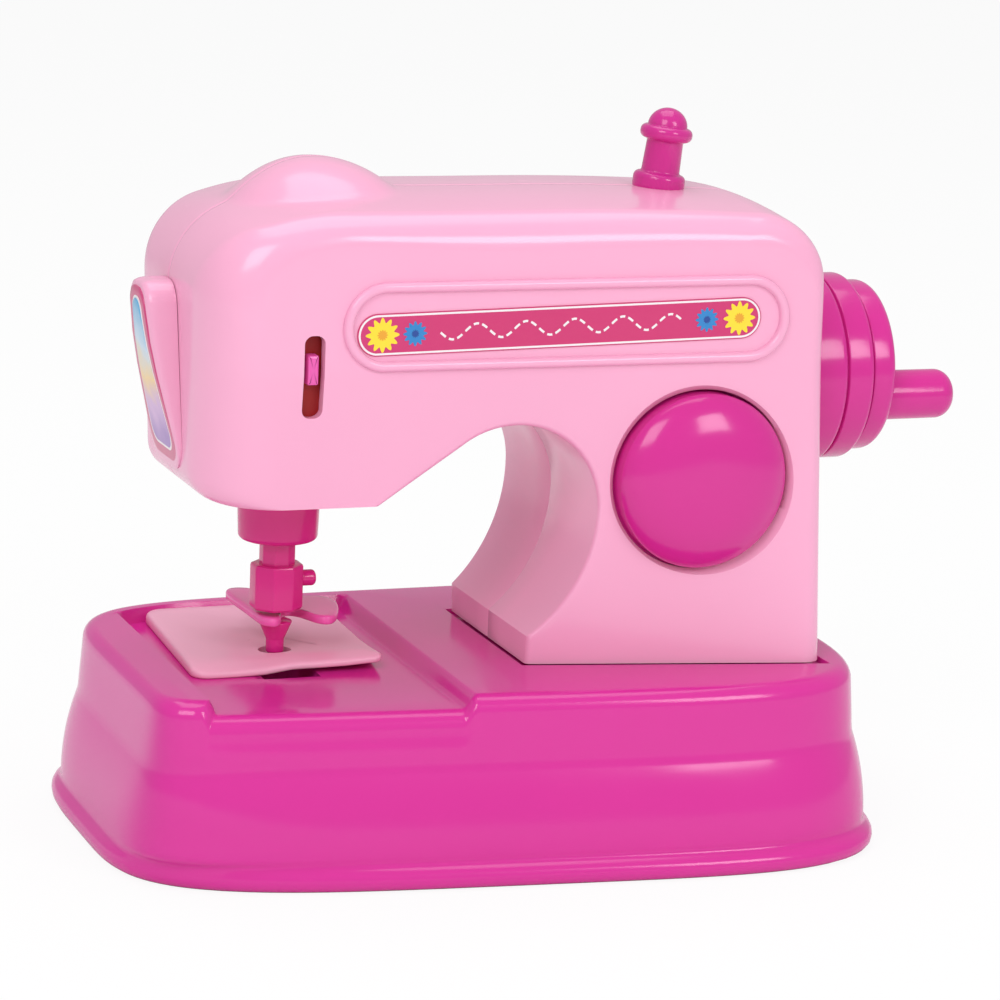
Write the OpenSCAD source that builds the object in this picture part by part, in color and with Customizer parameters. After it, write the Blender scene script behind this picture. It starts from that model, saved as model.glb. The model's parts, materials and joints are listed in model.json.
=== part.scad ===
// Toy sewing machine: a hollow two-part body on a bell-sided base. A hand wheel turns the main shaft,
// a needle bar slides in the head, and a push button on the pillar works the switch of the drive.
// Sizes are in millimetres. X runs towards the hand wheel, Y to the back, Z up from the table.

/* [Base] */
// Half length of the base at its upper wall
base_half_length = 66.9; // [66:0.1:70]
// Half depth of the base at its upper wall
base_half_depth = 40.6; // [40:0.2:44]
// How much the base's front stands out towards the wheel, as a share of the distance along it
plan_taper = 0.1; // [0.06:0.01:0.11]
// Height of the base
base_height = 33; // [32:0.5:36]
// Squareness of the base's plan, more for tighter corners
plan_squareness = 4.2; // [4:0.1:5.5]
// How far the lip at the bottom stands out past the upper wall
lip_out = 5.7; // [5:0.1:6]
// Height of the lip at the bottom
lip_height = 4.4; // [3.8:0.2:5]
// Height of the crease where the bell flare starts
crease_height = 18.8; // [18:0.2:20]
// How far the upper wall slopes out down to the crease
wall_draft = 0.8; // [0.4:0.1:1.2]
// Radius round the top edge of the base
top_edge_radius = 3; // [2.5:0.25:3.5]
// Thickness of the plastic walls
wall = 2.2; // [2:0.1:2.4]

/* [Work area] */
// Distance of the lowered work area from the left end of the base
recess_inset = 10.8; // [10:0.2:12]
// Right end of the lowered work area
recess_right = -14.5; // [-16:0.5:-13]
// Back end of the lowered work area
recess_back = 35; // [34:0.5:36]
// Depth of the lowered work area
recess_depth = 2.6; // [2.4:0.1:2.8]
// Length of the needle slot in its floor
needle_slot_length = 18; // [16:0.5:20]
// Width of the needle slot in its floor
needle_slot_width = 8.5; // [8:0.25:9.5]
// Width of the cloth pad
pad_width = 36; // [34:0.5:38]
// Length of the cloth pad from front to back
pad_length = 43.3; // [41:0.1:45]
// Thickness of the cloth pad
pad_thickness = 2.2; // [1.8:0.1:2.4]
// Corner radius of the cloth pad
pad_corner = 5; // [3:0.5:7]

/* [Body] */
// Height of the head's underside above the base
head_rise = 30.7; // [29.5:0.1:32]
// Height of the body's top above the base
body_rise = 83.2; // [81:0.1:85]
// Half depth of the arm
half_depth = 26; // [25.5:0.1:27]
// Half depth of the pillar at its foot, on the side of the arch
toe_half_depth = 20; // [19:0.5:22]
// Half depth of the pillar at its foot, on the side of the wheel
heel_half_depth = 30; // [28:0.5:31]
// Left end of the head at its bottom
head_left_low = -59.8; // [-60.5:0.1:-59]
// Left end of the head at its top
head_left_high = -61.5; // [-62:0.1:-61]
// Right end of the pillar
pillar_right = 57; // [56.6:0.1:57.6]
// Left end of the foot
foot_left = 3; // [2:0.25:4]
// Height of the toe of the foot
toe_height = 5.1; // [4.5:0.1:5.6]
// Radius of the arch under the arm
arch_radius = 16.1; // [15.6:0.1:16.4]
// Right edge of the head's underside
head_right = -26.5; // [-27:0.1:-26]
// Radius of the dome's foot on the head
dome_radius = 17.5; // [16.5:0.25:18.5]
// Height of the dome above the body's top
dome_rise = 5.7; // [5:0.1:6.5]

/* [Front] */
// Length of the label frame
frame_length = 82.6; // [80:0.2:84]
// Height of the label frame
frame_height = 15; // [14:0.1:15.2]
// Width of the frame's raised rim
frame_rim = 1.45; // [1.2:0.05:1.7]
// Height of the frame's raised rim
frame_raise = 0.7; // [0.5:0.05:0.9]
// Margin between the label strip's ends and the frame's rim
label_margin = 2.35; // [1.8:0.05:3.4]
// Height of the label strip
label_height = 7.4; // [6.8:0.1:7.8]
// Tilt of the label strip in degrees
label_tilt = 1.2; // [0:0.1:1.5]
// Thickness of the printed labels
label_thickness = 0.25; // [0.2:0.05:0.4]
// Radius of the button's dome
button_radius = 15.9; // [15.4:0.1:16.1]
// Gap round the button
button_gap = 0.85; // [0.5:0.05:0.9]
// Height of the button's dome
button_dome = 5; // [4:0.25:6]
// Travel of the button
button_travel = 2.5; // [2:0.1:2.6]

/* [Drive] */
// Height of the main shaft above the crown of the arch
shaft_lift = 4.3; // [4.2:0.1:4.6]
// Radius of the main shaft
shaft_radius = 2; // [1.8:0.1:2.1]
// Radius of the hand wheel's first disc
wheel_radius = 17.8; // [16.5:0.1:18.2]
// Width of the hand wheel's first disc
wheel_step = 7.2; // [6.6:0.1:7.6]
// Diameter of the crank handle
handle_size = 9.2; // [8:0.1:9.4]
// Length of the crank handle
handle_length = 14.8; // [14:0.2:17]
// Throw of the crank pin
crank_throw = 3.9; // [3.7:0.1:4]
// Module of the gears
gear_module = 0.6; // [0.58:0.01:0.6]

/* [Needle] */
// Place of the needle along the machine
needle_x = -37.5; // [-38:0.1:-37]
// Width of the needle bar across its flats
bar_width = 6; // [5.6:0.1:6.2]
// Width of the clamp across its flats
clamp_width = 8.9; // [8.4:0.1:9.4]
// Diameter of the collar under the head
collar_size = 15; // [14.6:0.1:15.4]
// Length of the collar below the head
collar_length = 10.5; // [10:0.1:11.5]
// Width of the slot in the head
slot_width = 3.7; // [3.4:0.1:4]
// Width of the presser foot
foot_width = 17.6; // [16.5:0.1:18.5]
// Length of the presser foot from front to back
foot_length = 24; // [22:0.25:25]
// Radius of the needle
needle_radius = 1.65; // [1.4:0.05:1.7]

/* [Hidden] */
$fn = 64;
// Small distances: a sliding gap, a fixed fit, a running fit, and an overlap for cuts
slide_gap = 0.15;
fit = 0.02;
run = 0.04;
cut = 0.5;
// Clearance round a moving piece, and a visible gap round a fixed one
clearance = 0.5;
pad_gap = 1;
// Levels and places worked out from the sizes above; shares are of the body's height
arch_share = 0.34;
button_share = 0.404;
tenths = 10;
lean_drop = 28.4;
label_drop = 20.2;
slot_offset = 2.4;
slot_below = 1.7;
slot_above = 12.8;
arch_offset = 5;
label_x = 6.5;
button_x = 33;
toe_curve = 10.3;
head_bottom = base_height + head_rise;
body_top = base_height + body_rise;
plan_centre = -1.9;
recess_left = plan_centre + recess_inset - base_half_length;
recess_floor = base_height - recess_depth;
lean_top = body_top - lean_drop;
label_z = body_top - label_drop;
label_length = frame_length - 2 * frame_rim - 2 * label_margin;
button_z = base_height + round(tenths * body_rise * button_share) / tenths;
arch_x = foot_left - arch_offset;
arch_z = base_height + round(tenths * body_rise * arch_share) / tenths;
arch_right = arch_x + arch_radius;
shaft_z = arch_z + arch_radius + shaft_lift;
slot_x = needle_x - slot_offset;
slot_bottom = shaft_z - slot_below;
slot_top = shaft_z + slot_above;

// Colours
pink = [0.95, 0.62, 0.80];
magenta = [0.86, 0.12, 0.52];
steel = [0.72, 0.73, 0.75];
white_plastic = [0.92, 0.92, 0.90];
dark_plastic = [0.16, 0.16, 0.18];

// General functions: a point part of the way between two, and points along a line and an arc
function between(a, b, t) = a + (b - a) * t;
function on_line(a, b, n) = [for (i = [0 : n - 1]) between(a, b, i / n)];
function on_arc(c, r, a, b, n) = [for (i = [0 : n - 1])
    let (t = between(a, b, i / n)) c + r * [cos(t), sin(t)]];
function signed_power(v, p) = sign(v) * pow(abs(v), p);

// A closed solid through a list of sections with the same even number of points
module loft(sections) {
    m = len(sections[0]);
    n = len(sections);
    points = [for (s = sections) for (p = s) p];
    sides = [for (i = [0 : n - 2]) for (j = [0 : m - 1])
        let (a = i * m + j, b = i * m + (j + 1) % m, c = a + m, d = b + m)
        each [[a, c, d], [a, d, b]]];
    end = (n - 1) * m;
    first_cap = [for (j = [0 : m / 2 - 2]) let (a = j, b = j + 1, c = m - 2 - j, d = m - 1 - j)
        each [[a, b, c], [a, c, d]]];
    last_cap = [for (t = first_cap) [end + t[0], end + t[2], end + t[1]]];
    polyhedron(points, concat(first_cap, sides, last_cap));
}

// Things lying along X (local X to Y, local Y to Z) and along Y (towards the front)
module along_x(x, y, z) {
    translate([x, y, z]) rotate([90, 0, 90]) children();
}
module to_front(x, y, z) {
    translate([x, y, z]) rotate([90, 0, 0]) children();
}

// Base

plan_points = 72;
// One ring of the base's plan: a superellipse with a slanting front, set out from the upper wall,
// and by a share of that distance at its ends
end_share = 0.75;
function plan_ring(out, z) = [for (i = [0 : plan_points - 1])
    let (t = 360 * i / plan_points, p = 2 / plan_squareness,
        x = plan_centre + (base_half_length + out * end_share) * signed_power(cos(t), p),
        depth = base_half_depth + out + (sin(t) < 0 ? plan_taper * x : 0))
    [x, depth * signed_power(sin(t), p), z]];
function plan_outline(out) = [for (p = plan_ring(out, 0)) [p.x, p.y]];

// The bell side as shares: height within its band, and distance out within its band
lip_shares = [[0, 0.72], [0.16, 0.92], [0.45, 1], [0.8, 0.9], [1, 0.66]];
bell_shares = [[0.08, 0.62], [0.28, 0.58], [0.5, 0.52], [0.72, 0.38], [0.88, 0.24]];
edge_steps = 4;
upper_edge = base_height - top_edge_radius;

function base_rings() = concat(
    [for (s = lip_shares) plan_ring(lip_out * s[1], lip_height * s[0])],
    [for (s = bell_shares)
        plan_ring(between(wall_draft, lip_out, s[1]), between(lip_height, crease_height, s[0]))],
    [plan_ring(wall_draft, crease_height)],
    [for (i = [0 : edge_steps]) let (a = 90 * i / edge_steps)
        plan_ring(-top_edge_radius * (1 - cos(a)), upper_edge + top_edge_radius * sin(a))]);

pan_under = recess_floor - wall;
cover_thickness = 2.2;
cover_gap = 0.2;
rim_ledge = lip_out * lip_shares[0][1] - wall;
function base_hollow() = [plan_ring(rim_ledge, -cut), plan_ring(rim_ledge, lip_height),
    plan_ring(wall_draft - wall, crease_height), plan_ring(-wall - wall_draft, pan_under)];

// Posts for the cover's screws, and places of the screws up into the pillar
post_radius = 3.5;
post_inset = 13;
post_x = base_half_length - post_inset;
post_y = base_half_depth - post_inset - post_radius;
screw_radius = 1.5;
screw_head_radius = 2.8;
screw_head = 2;
foot_screw_x = 42;
foot_screw_y = 12;
pocket_left = recess_right + wall;
pocket_inset = 7.5;
pocket_right = base_half_length - pocket_inset - screw_radius;
pocket_y = base_half_depth - pocket_inset;

// The needle slot: its shift from the needle, and the share of it that lies in front
slot_shift = 0.75;
slot_share = 0.61;

module cover_posts(radius, from, to) {
    for (x = [-post_x, post_x]) for (y = [-post_y, post_y])
        translate([x, y, from]) cylinder(r = radius, h = to - from);
}

module base_shell() {
    color(magenta) difference() {
        union() {
            difference() {
                loft(base_rings());
                loft(base_hollow());
                translate([pocket_left, -pocket_y, pan_under - cut])
                    cube([pocket_right - pocket_left, 2 * pocket_y, base_height - wall - pan_under + cut]);
            }
            cover_posts(post_radius, cover_thickness, base_height - wall / 2);
        }
        translate([recess_left, -base_half_depth - lip_out, recess_floor])
            cube([recess_right - recess_left, recess_back + base_half_depth + lip_out, recess_depth + cut]);
        translate([needle_x + slot_shift - needle_slot_width / 2, -needle_slot_length * slot_share,
            pan_under - cut]) cube([needle_slot_width, needle_slot_length, wall + 2 * cut]);
        cover_posts(screw_radius + fit, 0, pan_under - wall);
        for (y = [-foot_screw_y, foot_screw_y])
            translate([foot_screw_x, y, pan_under]) cylinder(r = screw_radius + fit, h = base_height);
    }
}

// Battery compartment, in the right half of the base
cell_radius = 7.25;
cell_length = 50.5;
cell_gap = 0.4;
cell_play = 0.6;
contact_room = 2.5;
box_inset = 44;
box_x = base_half_length - box_inset;
box_length = cell_length + 2 * contact_room;
box_depth = 4 * (cell_radius + cell_gap) + cell_gap;
box_wall = 1.6;
cell_z = cover_thickness + cell_radius + cell_play;
box_top = cell_z + cell_radius + cell_play;
door_margin = 1.2;
door_length = box_length - 2 * door_margin;
door_depth = box_depth - 2 * door_margin;
door_tab = 5;
door_screw_x = box_x + box_length / 2 + door_tab;
cover_screw_length = 14;
door_screw_length = 6;
door_end = box_x + door_length / 2;

module base_cover() {
    color(magenta) difference() {
        linear_extrude(cover_thickness) polygon(plan_outline(rim_ledge - cover_gap));
        translate([box_x - door_length / 2 - cover_gap, -door_depth / 2 - cover_gap, -cut])
            cube([door_length + 2 * cover_gap, door_depth + 2 * cover_gap, cover_thickness + 2 * cut]);
        translate([door_end, -door_tab - cover_gap, -cut])
            cube([door_screw_x + door_tab - door_end, 2 * (door_tab + cover_gap), cover_thickness / 2 + cut]);
        translate([door_screw_x, 0, -cut]) cylinder(r = screw_radius + fit, h = cover_thickness + 2 * cut);
        cover_posts(screw_radius + fit, -cut, cover_thickness + cut);
        cover_posts(screw_head_radius + fit, -cut, screw_head / 2);
    }
}

module screw(length, radius, head_radius, head) {
    cylinder(r = radius, h = length);
    cylinder(r = head_radius, h = head);
}

module base_cover_screws() {
    color(steel) for (x = [-post_x, post_x]) for (y = [-post_y, post_y])
        translate([x, y, 0]) screw(cover_screw_length, screw_radius, screw_head_radius, screw_head / 2);
}

module battery_box() {
    color(dark_plastic) difference() {
        translate([box_x - box_length / 2 - box_wall, -box_depth / 2 - box_wall, cover_thickness])
            cube([box_length + 2 * box_wall, box_depth + 2 * box_wall, box_top + box_wall - cover_thickness]);
        translate([box_x - box_length / 2, -box_depth / 2, cover_thickness - cut])
            cube([box_length, box_depth, box_top - cover_thickness + cut]);
    }
}

module batteries() {
    tip_radius = 2.7;
    tip = 1.2;
    color([0.20, 0.45, 0.30]) for (side = [-1, 1])
        along_x(box_x - cell_length / 2, side * (cell_radius + cell_gap), cell_z) {
            cylinder(r = cell_radius, h = cell_length - tip);
            cylinder(r = tip_radius, h = cell_length);
        }
}

module battery_contacts() {
    strip = 0.8;
    strip_size = 9;
    color(steel) for (end = [-1, 1]) for (side = [-1, 1])
        translate([box_x + end * (box_length / 2 - strip / 2), side * (cell_radius + cell_gap), cell_z])
            cube([strip, strip_size, strip_size], center = true);
}

module battery_door() {
    color(magenta) difference() {
        union() {
            translate([box_x - door_length / 2, -door_depth / 2, 0])
                cube([door_length, door_depth, cover_thickness]);
            translate([door_end - cut, -door_tab, 0])
                cube([door_screw_x + door_tab - cover_gap - door_end + cut, 2 * door_tab,
                    cover_thickness / 2]);
        }
        translate([door_screw_x, 0, -cut]) cylinder(r = screw_radius + fit, h = cover_thickness);
        translate([door_screw_x, 0, -cut]) cylinder(r = screw_head_radius, h = cut + screw_head / 4);
    }
}

module battery_door_screw() {
    color(steel) translate([door_screw_x, 0, 0])
        screw(door_screw_length, screw_radius, screw_head_radius - fit, screw_head / 4);
}

module cloth_plate() {
    hole = 3.1;
    bump_radius = 3;
    bump_length = 12;
    left = needle_x - pad_width / 2;
    front = recess_back - pad_gap - pad_length;
    color(pink) difference() {
        translate([left, front, recess_floor]) {
            linear_extrude(pad_thickness) union() {
                translate([pad_corner, 0]) square([pad_width - 2 * pad_corner, pad_length]);
                translate([0, pad_corner]) square([pad_width, pad_length - 2 * pad_corner]);
                for (x = [pad_corner, pad_width - pad_corner]) for (y = [pad_corner, pad_length - pad_corner])
                    translate([x, y]) circle(pad_corner);
            }
        }
        translate([needle_x, 0, recess_floor - cut]) cylinder(r = hole, h = pad_thickness + 2 * cut);
        translate([needle_x, front - cut, recess_floor - bump_radius / 2]) rotate([-90, 0, 0])
            cylinder(r = bump_radius, h = bump_length);
    }
}

// Body

head_corner = 7.5;
head_top_radius = 17;
pillar_corner = 15;
top_drop = 1.8;
drop_start = 5;
corner_start = 85;
top_end = [pillar_right - pillar_corner + pillar_corner * cos(corner_start), body_top - top_drop];
corner_centre = [pillar_right - pillar_corner, top_end.y - pillar_corner * sin(corner_start)];
function top_z(x) = body_top - top_drop * pow(max(0, x - drop_start) / (top_end.x - drop_start), 2);

// The front leans: the toe of the pillar stands further in and its heel further out than the arm
lean_height = lean_top - base_height;
function lean(x) = half_depth / lean_height - between(toe_half_depth, heel_half_depth,
    max(0, min(1, (x - foot_left) / (pillar_right - foot_left)))) / lean_height;
function depth_at(p) = half_depth - max(0, lean_top - p.y) * lean(p.x);

// Rails in the middle plane: the outer one runs over the back of the C shape, the inner one along the arch
low_left = [head_left_low, head_bottom + head_corner];
high_left = [head_left_high, body_top - head_top_radius];
slope_start = 128;
toe_start = -53;
toe_drop = 9.6;
arch_centre = [arch_x, arch_z];
arch_in = arch_centre + arch_radius * [cos(slope_start), sin(slope_start)];
head_in = [head_right, head_bottom];
toe_curve_end = [arch_right - toe_curve, arch_z - toe_drop];
toe_in = toe_curve_end + toe_curve * [cos(toe_start), sin(toe_start)];
toe = [foot_left, base_height + toe_height];

outer_rail = concat(
    on_arc(low_left + [head_corner, 0], head_corner, 270, 185, 5),
    on_line(low_left, high_left, 5),
    on_arc(high_left + [head_top_radius, 0], head_top_radius, 180, 90, 7),
    [for (i = [0 : 9]) let (x = between(head_left_high + head_top_radius, top_end.x, i / 10)) [x, top_z(x)]],
    on_arc(corner_centre, pillar_corner, corner_start, 0, 5),
    on_line([pillar_right, corner_centre.y], [pillar_right, base_height], 10),
    [[pillar_right, base_height]]);
inner_rail = concat(
    on_line(head_in, between(head_in, arch_in, 0.2), 5),
    on_line(between(head_in, arch_in, 0.2), between(head_in, arch_in, 0.55), 5),
    on_line(between(head_in, arch_in, 0.55), arch_in, 7),
    on_arc(arch_centre, arch_radius, slope_start, 40, 10),
    on_arc(arch_centre, arch_radius, 40, 0, 5),
    on_line([arch_right, arch_z], [arch_right, toe_curve_end.y], 2),
    on_arc(toe_curve_end, toe_curve, 0, toe_start, 4),
    on_line(toe_in, toe, 2),
    on_line(toe, [foot_left, base_height], 2),
    [[foot_left, base_height]]);

// Edge radius and crown along the rails
round_end = 20;
round_bottom = 17;
round_top = 9;
round_pillar = 4;
crown = 3;
rail_radius = concat(
    [for (i = [0 : 4]) between(round_bottom, round_end, i / 5)], [for (i = [0 : 4]) round_end],
    [for (i = [0 : 6]) between(round_end, round_top, i / 7)], [for (i = [0 : 9]) round_top],
    [for (i = [0 : 4]) between(round_top, round_pillar, i / 5)], [for (i = [0 : 10]) round_pillar]);
rail_crown = concat(
    [for (i = [0 : 9]) 0], [for (i = [0 : 6]) crown * i / 7], [for (i = [0 : 9]) crown],
    [for (i = [0 : 4]) crown * (1 - i / 5)], [for (i = [0 : 10]) 0]);
rail_last = len(outer_rail) - 1;
inner_edge = 0.8;

// One section across the C, from the outer rail to the front face and back to the inner rail
function section(o, i, r, c, thin, start) =
    let (d = (i - o) / norm(i - o), steps = 5)
    concat([[o.x, start, o.y]],
        [for (k = [1 : 2]) let (y = (depth_at(o) - thin - r) * k / 3, p = o + d * c * pow(y / half_depth, 2))
            [p.x, -y, p.y]],
        [for (k = [0 : steps]) let (a = 90 * k / steps, q = o + d * r * (1 - cos(a)),
            y = depth_at(q) - thin - r + r * sin(a), p = q + d * c * pow(y / half_depth, 2)) [p.x, -y, p.y]],
        [for (k = [1 : 3]) let (q = between(o + d * (r + c), i - d * inner_edge, k / 4))
            [q.x, thin - depth_at(q), q.y]],
        [for (k = [0 : 2]) let (a = 90 - 45 * k, q = i - d * inner_edge * (1 - cos(a)),
            y = depth_at(q) - thin - inner_edge * (1 - sin(a))) [q.x, -y, q.y]],
        [[i.x, start, i.y]]);

// The same rails set in by the wall, closed by a floor in the head and one in the foot
set_in = wall * 1.2;
function inward(k) = (inner_rail[k] - outer_rail[k]) / norm(inner_rail[k] - outer_rail[k]) * set_in;
head_floor = head_bottom + wall;
foot_floor = base_height + wall;
hollow_first = 5;
hollow_last = rail_last - 4;
toe_wall = 10;
module half_body() {
    loft([for (k = [0 : rail_last])
        section(outer_rail[k], inner_rail[k], rail_radius[k], rail_crown[k], 0, 0)]);
}
module half_hollow() {
    right = pillar_right - wall;
    left = foot_left + toe_wall;
    loft(concat(
        [section([head_left_low + head_corner * 0.7, head_floor], [head_right - set_in, head_floor],
            round_bottom - wall, 0, wall, cut)],
        [for (k = [hollow_first : 2 : hollow_last])
            section(outer_rail[k] + inward(k), inner_rail[k] - inward(k),
                rail_radius[k] - wall / 2, rail_crown[k], wall, cut)],
        [section([right, base_height + 3 * toe_height], [left, base_height + 1.5 * toe_height],
            round_pillar - wall / 2, 0, wall, cut)],
        [section([right, foot_floor], [left, foot_floor], round_pillar - wall / 2, 0, wall, cut)]));
}

// The dome on the head, as half of a ball's cap
dome_inset = 28.3;
dome_x = head_left_high + dome_inset;
dome_sink = 2.5;
dome_height = dome_rise + dome_sink;
ball = (dome_radius * dome_radius + dome_height * dome_height) / (2 * dome_height);
module half_dome() {
    low = body_top - dome_sink;
    intersection() {
        translate([dome_x, 0, low + dome_height - ball]) sphere(ball, $fn = 96);
        translate([dome_x - ball, -ball, low]) cube([2 * ball, ball, dome_height + cut]);
    }
}

// Screw posts through both halves: places in X and Z
post_size = 3.3;
high_post = 12.5;
low_post = 6.5;
head_post = 2;
arm_post = 19;
corner_post = 11;
foot_post = 9;
shell_posts = [[head_right + head_post, lean_top + high_post - head_post],
    [button_x - arm_post, lean_top + high_post], [button_x + corner_post, lean_top + high_post],
    [button_x - foot_post, base_height + low_post]];
sink_depth = 6;
screw_reach = 12;
peg_radius = 1.5;
bush_radius = 3.5;
spool_x = 32.5;
spool_lean = 7;
spool_root = 2.5;

// Openings shared by the two halves: shaft, collar and spool pin
neck_step = 1;
neck_radius = collar_size / 2 - neck_step;
// The raised panel on the left end: its size, and its pegs as shares of its half width and height
panel_raise = 2.4;
panel_half = 10;
panel_margin = 6;
panel_drop = 16.4;
panel_low = head_bottom + panel_margin;
panel_high = body_top - panel_drop;
peg_shares = [[-0.55, 0.21], [0.55, 0.21], [-0.55, 0.73], [0.55, 0.73]];
pegs = [for (s = peg_shares) [panel_half * s[0], between(panel_low, panel_high, s[1])]];
module shared_openings() {
    along_x(pillar_right - wall - cut, 0, shaft_z) cylinder(r = bush_radius + fit, h = wall + 2 * cut);
    translate([needle_x, 0, head_bottom - cut]) cylinder(r = neck_radius + fit, h = wall + 2 * cut);
    along_x(rib_x, 0, shaft_z) cylinder(r = shaft_radius + clearance, h = pillar_right - wall - rib_x);
    translate([spool_x, 0, top_z(spool_x)]) rotate([0, spool_lean, 0])
        translate([0, 0, -3 * wall]) cylinder(r = spool_root + fit, h = 6 * wall);
    for (p = pegs)
        along_x(head_left_high - cut, p.x, p.y) cylinder(r = peg_radius + fit, h = head_corner);
}

module stadium(length, height) {
    square([length - height, height], center = true);
    for (side = [-1, 1]) translate([side * (length - height) / 2, 0]) circle(d = height);
}

bracket_margin = 5.2;
bracket_reach = button_radius + bracket_margin;
bracket_posts = [[button_x, button_z + bracket_reach], [button_x, button_z - bracket_reach]];
bracket_depth = 16.5;
bracket_y = half_depth - bracket_depth;
module front_shell() {
    color(pink) difference() {
        union() {
            difference() {
                half_body();
                half_hollow();
            }
            half_dome();
            to_front(label_x, -half_depth + cut, label_z) linear_extrude(frame_raise + cut) difference() {
                stadium(frame_length, frame_height);
                stadium(frame_length - 2 * frame_rim, frame_height - 2 * frame_rim);
            }
            for (p = shell_posts) to_front(p.x, 0, p.y) cylinder(r = post_size, h = depth_at(p) - wall / 2);
            for (p = bracket_posts) to_front(p.x, -bracket_y, p.y)
                cylinder(r = post_size, h = depth_at(p) - bracket_y - wall / 2);
            translate([foot_screw_x, -foot_screw_y, foot_floor - cut])
                cylinder(r = post_size, h = toe_height + cut);
        }
        shared_openings();
        for (p = shell_posts) to_front(p.x, cut, p.y)
            cylinder(r = screw_radius + fit, h = screw_reach + cut);
        translate([foot_screw_x, -foot_screw_y, base_height - cut])
            cylinder(r = screw_radius + fit, h = 2 * toe_height);
        to_front(button_x, 0, button_z)
            cylinder(r = button_radius + button_gap, h = 2 * half_depth, $fn = 96);
        translate([slot_x - slot_width / 2, -2 * half_depth, slot_bottom])
            cube([slot_width, 2 * half_depth - toe_half_depth / 2, slot_top - slot_bottom]);
    }
}

rib_x = -20.5;
guide_half = 8;
guide_thickness = 2;
idler_y = 5;
bracket_x = 44.2;
bracket_thickness = 2;
bracket_back = 18;
guide_post_z = shaft_z + guide_half;
rib_drop = 7.7;
boss_depth = 1.2;
axle_hole = 3;
bracket_low = 20;
bracket_high = 3;
module rear_shell() {
    rib_bottom = shaft_z - rib_drop;
    color(pink) difference() {
        union() {
            mirror([0, 1, 0]) difference() {
                half_body();
                half_hollow();
            }
            mirror([0, 1, 0]) half_dome();
            for (p = shell_posts) translate([p.x, 0, p.y]) rotate([-90, 0, 0])
                cylinder(r = post_size, h = depth_at(p) - wall / 2);
            translate([rib_x, -2 * bush_radius, rib_bottom])
                cube([wall, half_depth + 2 * bush_radius - wall / 2, slot_top - rib_bottom + post_size]);
            translate([needle_x + guide_thickness, guide_half + slide_gap + guide_thickness, guide_post_z])
                rotate([-90, 0, 0])
                    cylinder(r = post_size, h = half_depth - guide_half - guide_thickness - wall / 2);
            for (z = [idler_z - bracket_low, idler_z + bracket_high])
                translate([bracket_x + bracket_thickness / 2, bracket_back, z]) rotate([-90, 0, 0])
                    cylinder(r = post_size, h = half_depth - bracket_back - wall / 2);
            along_x(pillar_right - wall - boss_depth, idler_y, idler_z)
                cylinder(r = post_size, h = boss_depth + cut);
            translate([foot_screw_x, foot_screw_y, foot_floor - cut])
                cylinder(r = post_size, h = toe_height + cut);
        }
        shared_openings();
        for (p = shell_posts) translate([p.x, -cut, p.y]) rotate([-90, 0, 0]) {
            cylinder(r = screw_radius + fit, h = 2 * half_depth);
            translate([0, 0, depth_at(p) - sink_depth + cut])
                cylinder(r = screw_head_radius + fit, h = half_depth);
        }
        translate([foot_screw_x, foot_screw_y, base_height - cut])
            cylinder(r = screw_radius + fit, h = 2 * toe_height);
        along_x(rib_x - cut, 0, shaft_z) cylinder(r = bush_radius + fit, h = wall + 2 * cut);
        along_x(pillar_right - wall - axle_hole, idler_y, idler_z)
            cylinder(r = axle_radius + fit, h = axle_hole + wall / 2);
    }
}

module shell_screws() {
    color(steel) for (p = shell_posts) to_front(p.x, depth_at(p) - sink_depth + screw_head, p.y)
        screw(depth_at(p) - sink_depth + screw_head + screw_reach - cut,
            screw_radius, screw_head_radius, screw_head);
}

module foot_screws() {
    color(steel) for (y = [-foot_screw_y, foot_screw_y])
        translate([foot_screw_x, y, base_height - wall - screw_head])
            screw(wall + screw_head + toe_height, screw_radius, screw_head_radius, screw_head);
}

// The left end as a function of height and depth, for the panel and its label
function end_x(y, z) = let (t = (z - low_left.y) / (high_left.y - low_left.y),
    flat = max(0, abs(y) - (depth_at([head_left_low, z]) - round_end)))
    between(low_left.x, high_left.x, t) + round_end - sqrt(round_end * round_end - flat * flat);
// A patch with round ends standing on the left end, between two distances out from it, wider at its foot
spread_shares = [1.25, 0.7];
module end_patch(half, low, high, inside, outside) {
    rows = 14;
    columns = 10;
    loft([for (i = [0 : rows])
        let (s = 1 - cos(180 * i / rows), z = between(low, high, s / 2), bend = half / 2,
            near = min(z - low, high - z, bend), spread = between(spread_shares[0], spread_shares[1], s / 2),
            w = spread * (bend + sqrt(max(0, pow(bend, 2) - pow(bend - near, 2)))))
        concat([for (j = [0 : columns]) let (y = between(w, -w, j / columns)) [end_x(y, z) - outside, y, z]],
            [for (j = [0 : columns]) let (y = between(-w, w, j / columns)) [end_x(y, z) - inside, y, z]])]);
}

module end_panel() {
    color(pink) union() {
        end_patch(panel_half, panel_low, panel_high, slide_gap, panel_raise);
        for (p = pegs) along_x(end_x(p.x, p.y) - panel_raise / 2, p.x, p.y)
            cylinder(r = peg_radius, h = wall + panel_raise / 2);
    }
}

module end_label() {
    inset = 2;
    color(magenta) end_patch(panel_half - inset, panel_low + inset, panel_high - inset,
        panel_raise + slide_gap / 2, panel_raise + slide_gap / 2 + label_thickness);
}

module front_label() {
    shift = -1.5;
    drop = 0.6;
    color(magenta) to_front(label_x + shift, -half_depth, label_z - drop) rotate([0, 0, label_tilt])
        linear_extrude(label_thickness) stadium(label_length, label_height);
}

// Needle group. All of it slides together, so it is set out from the shaft and the base

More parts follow.
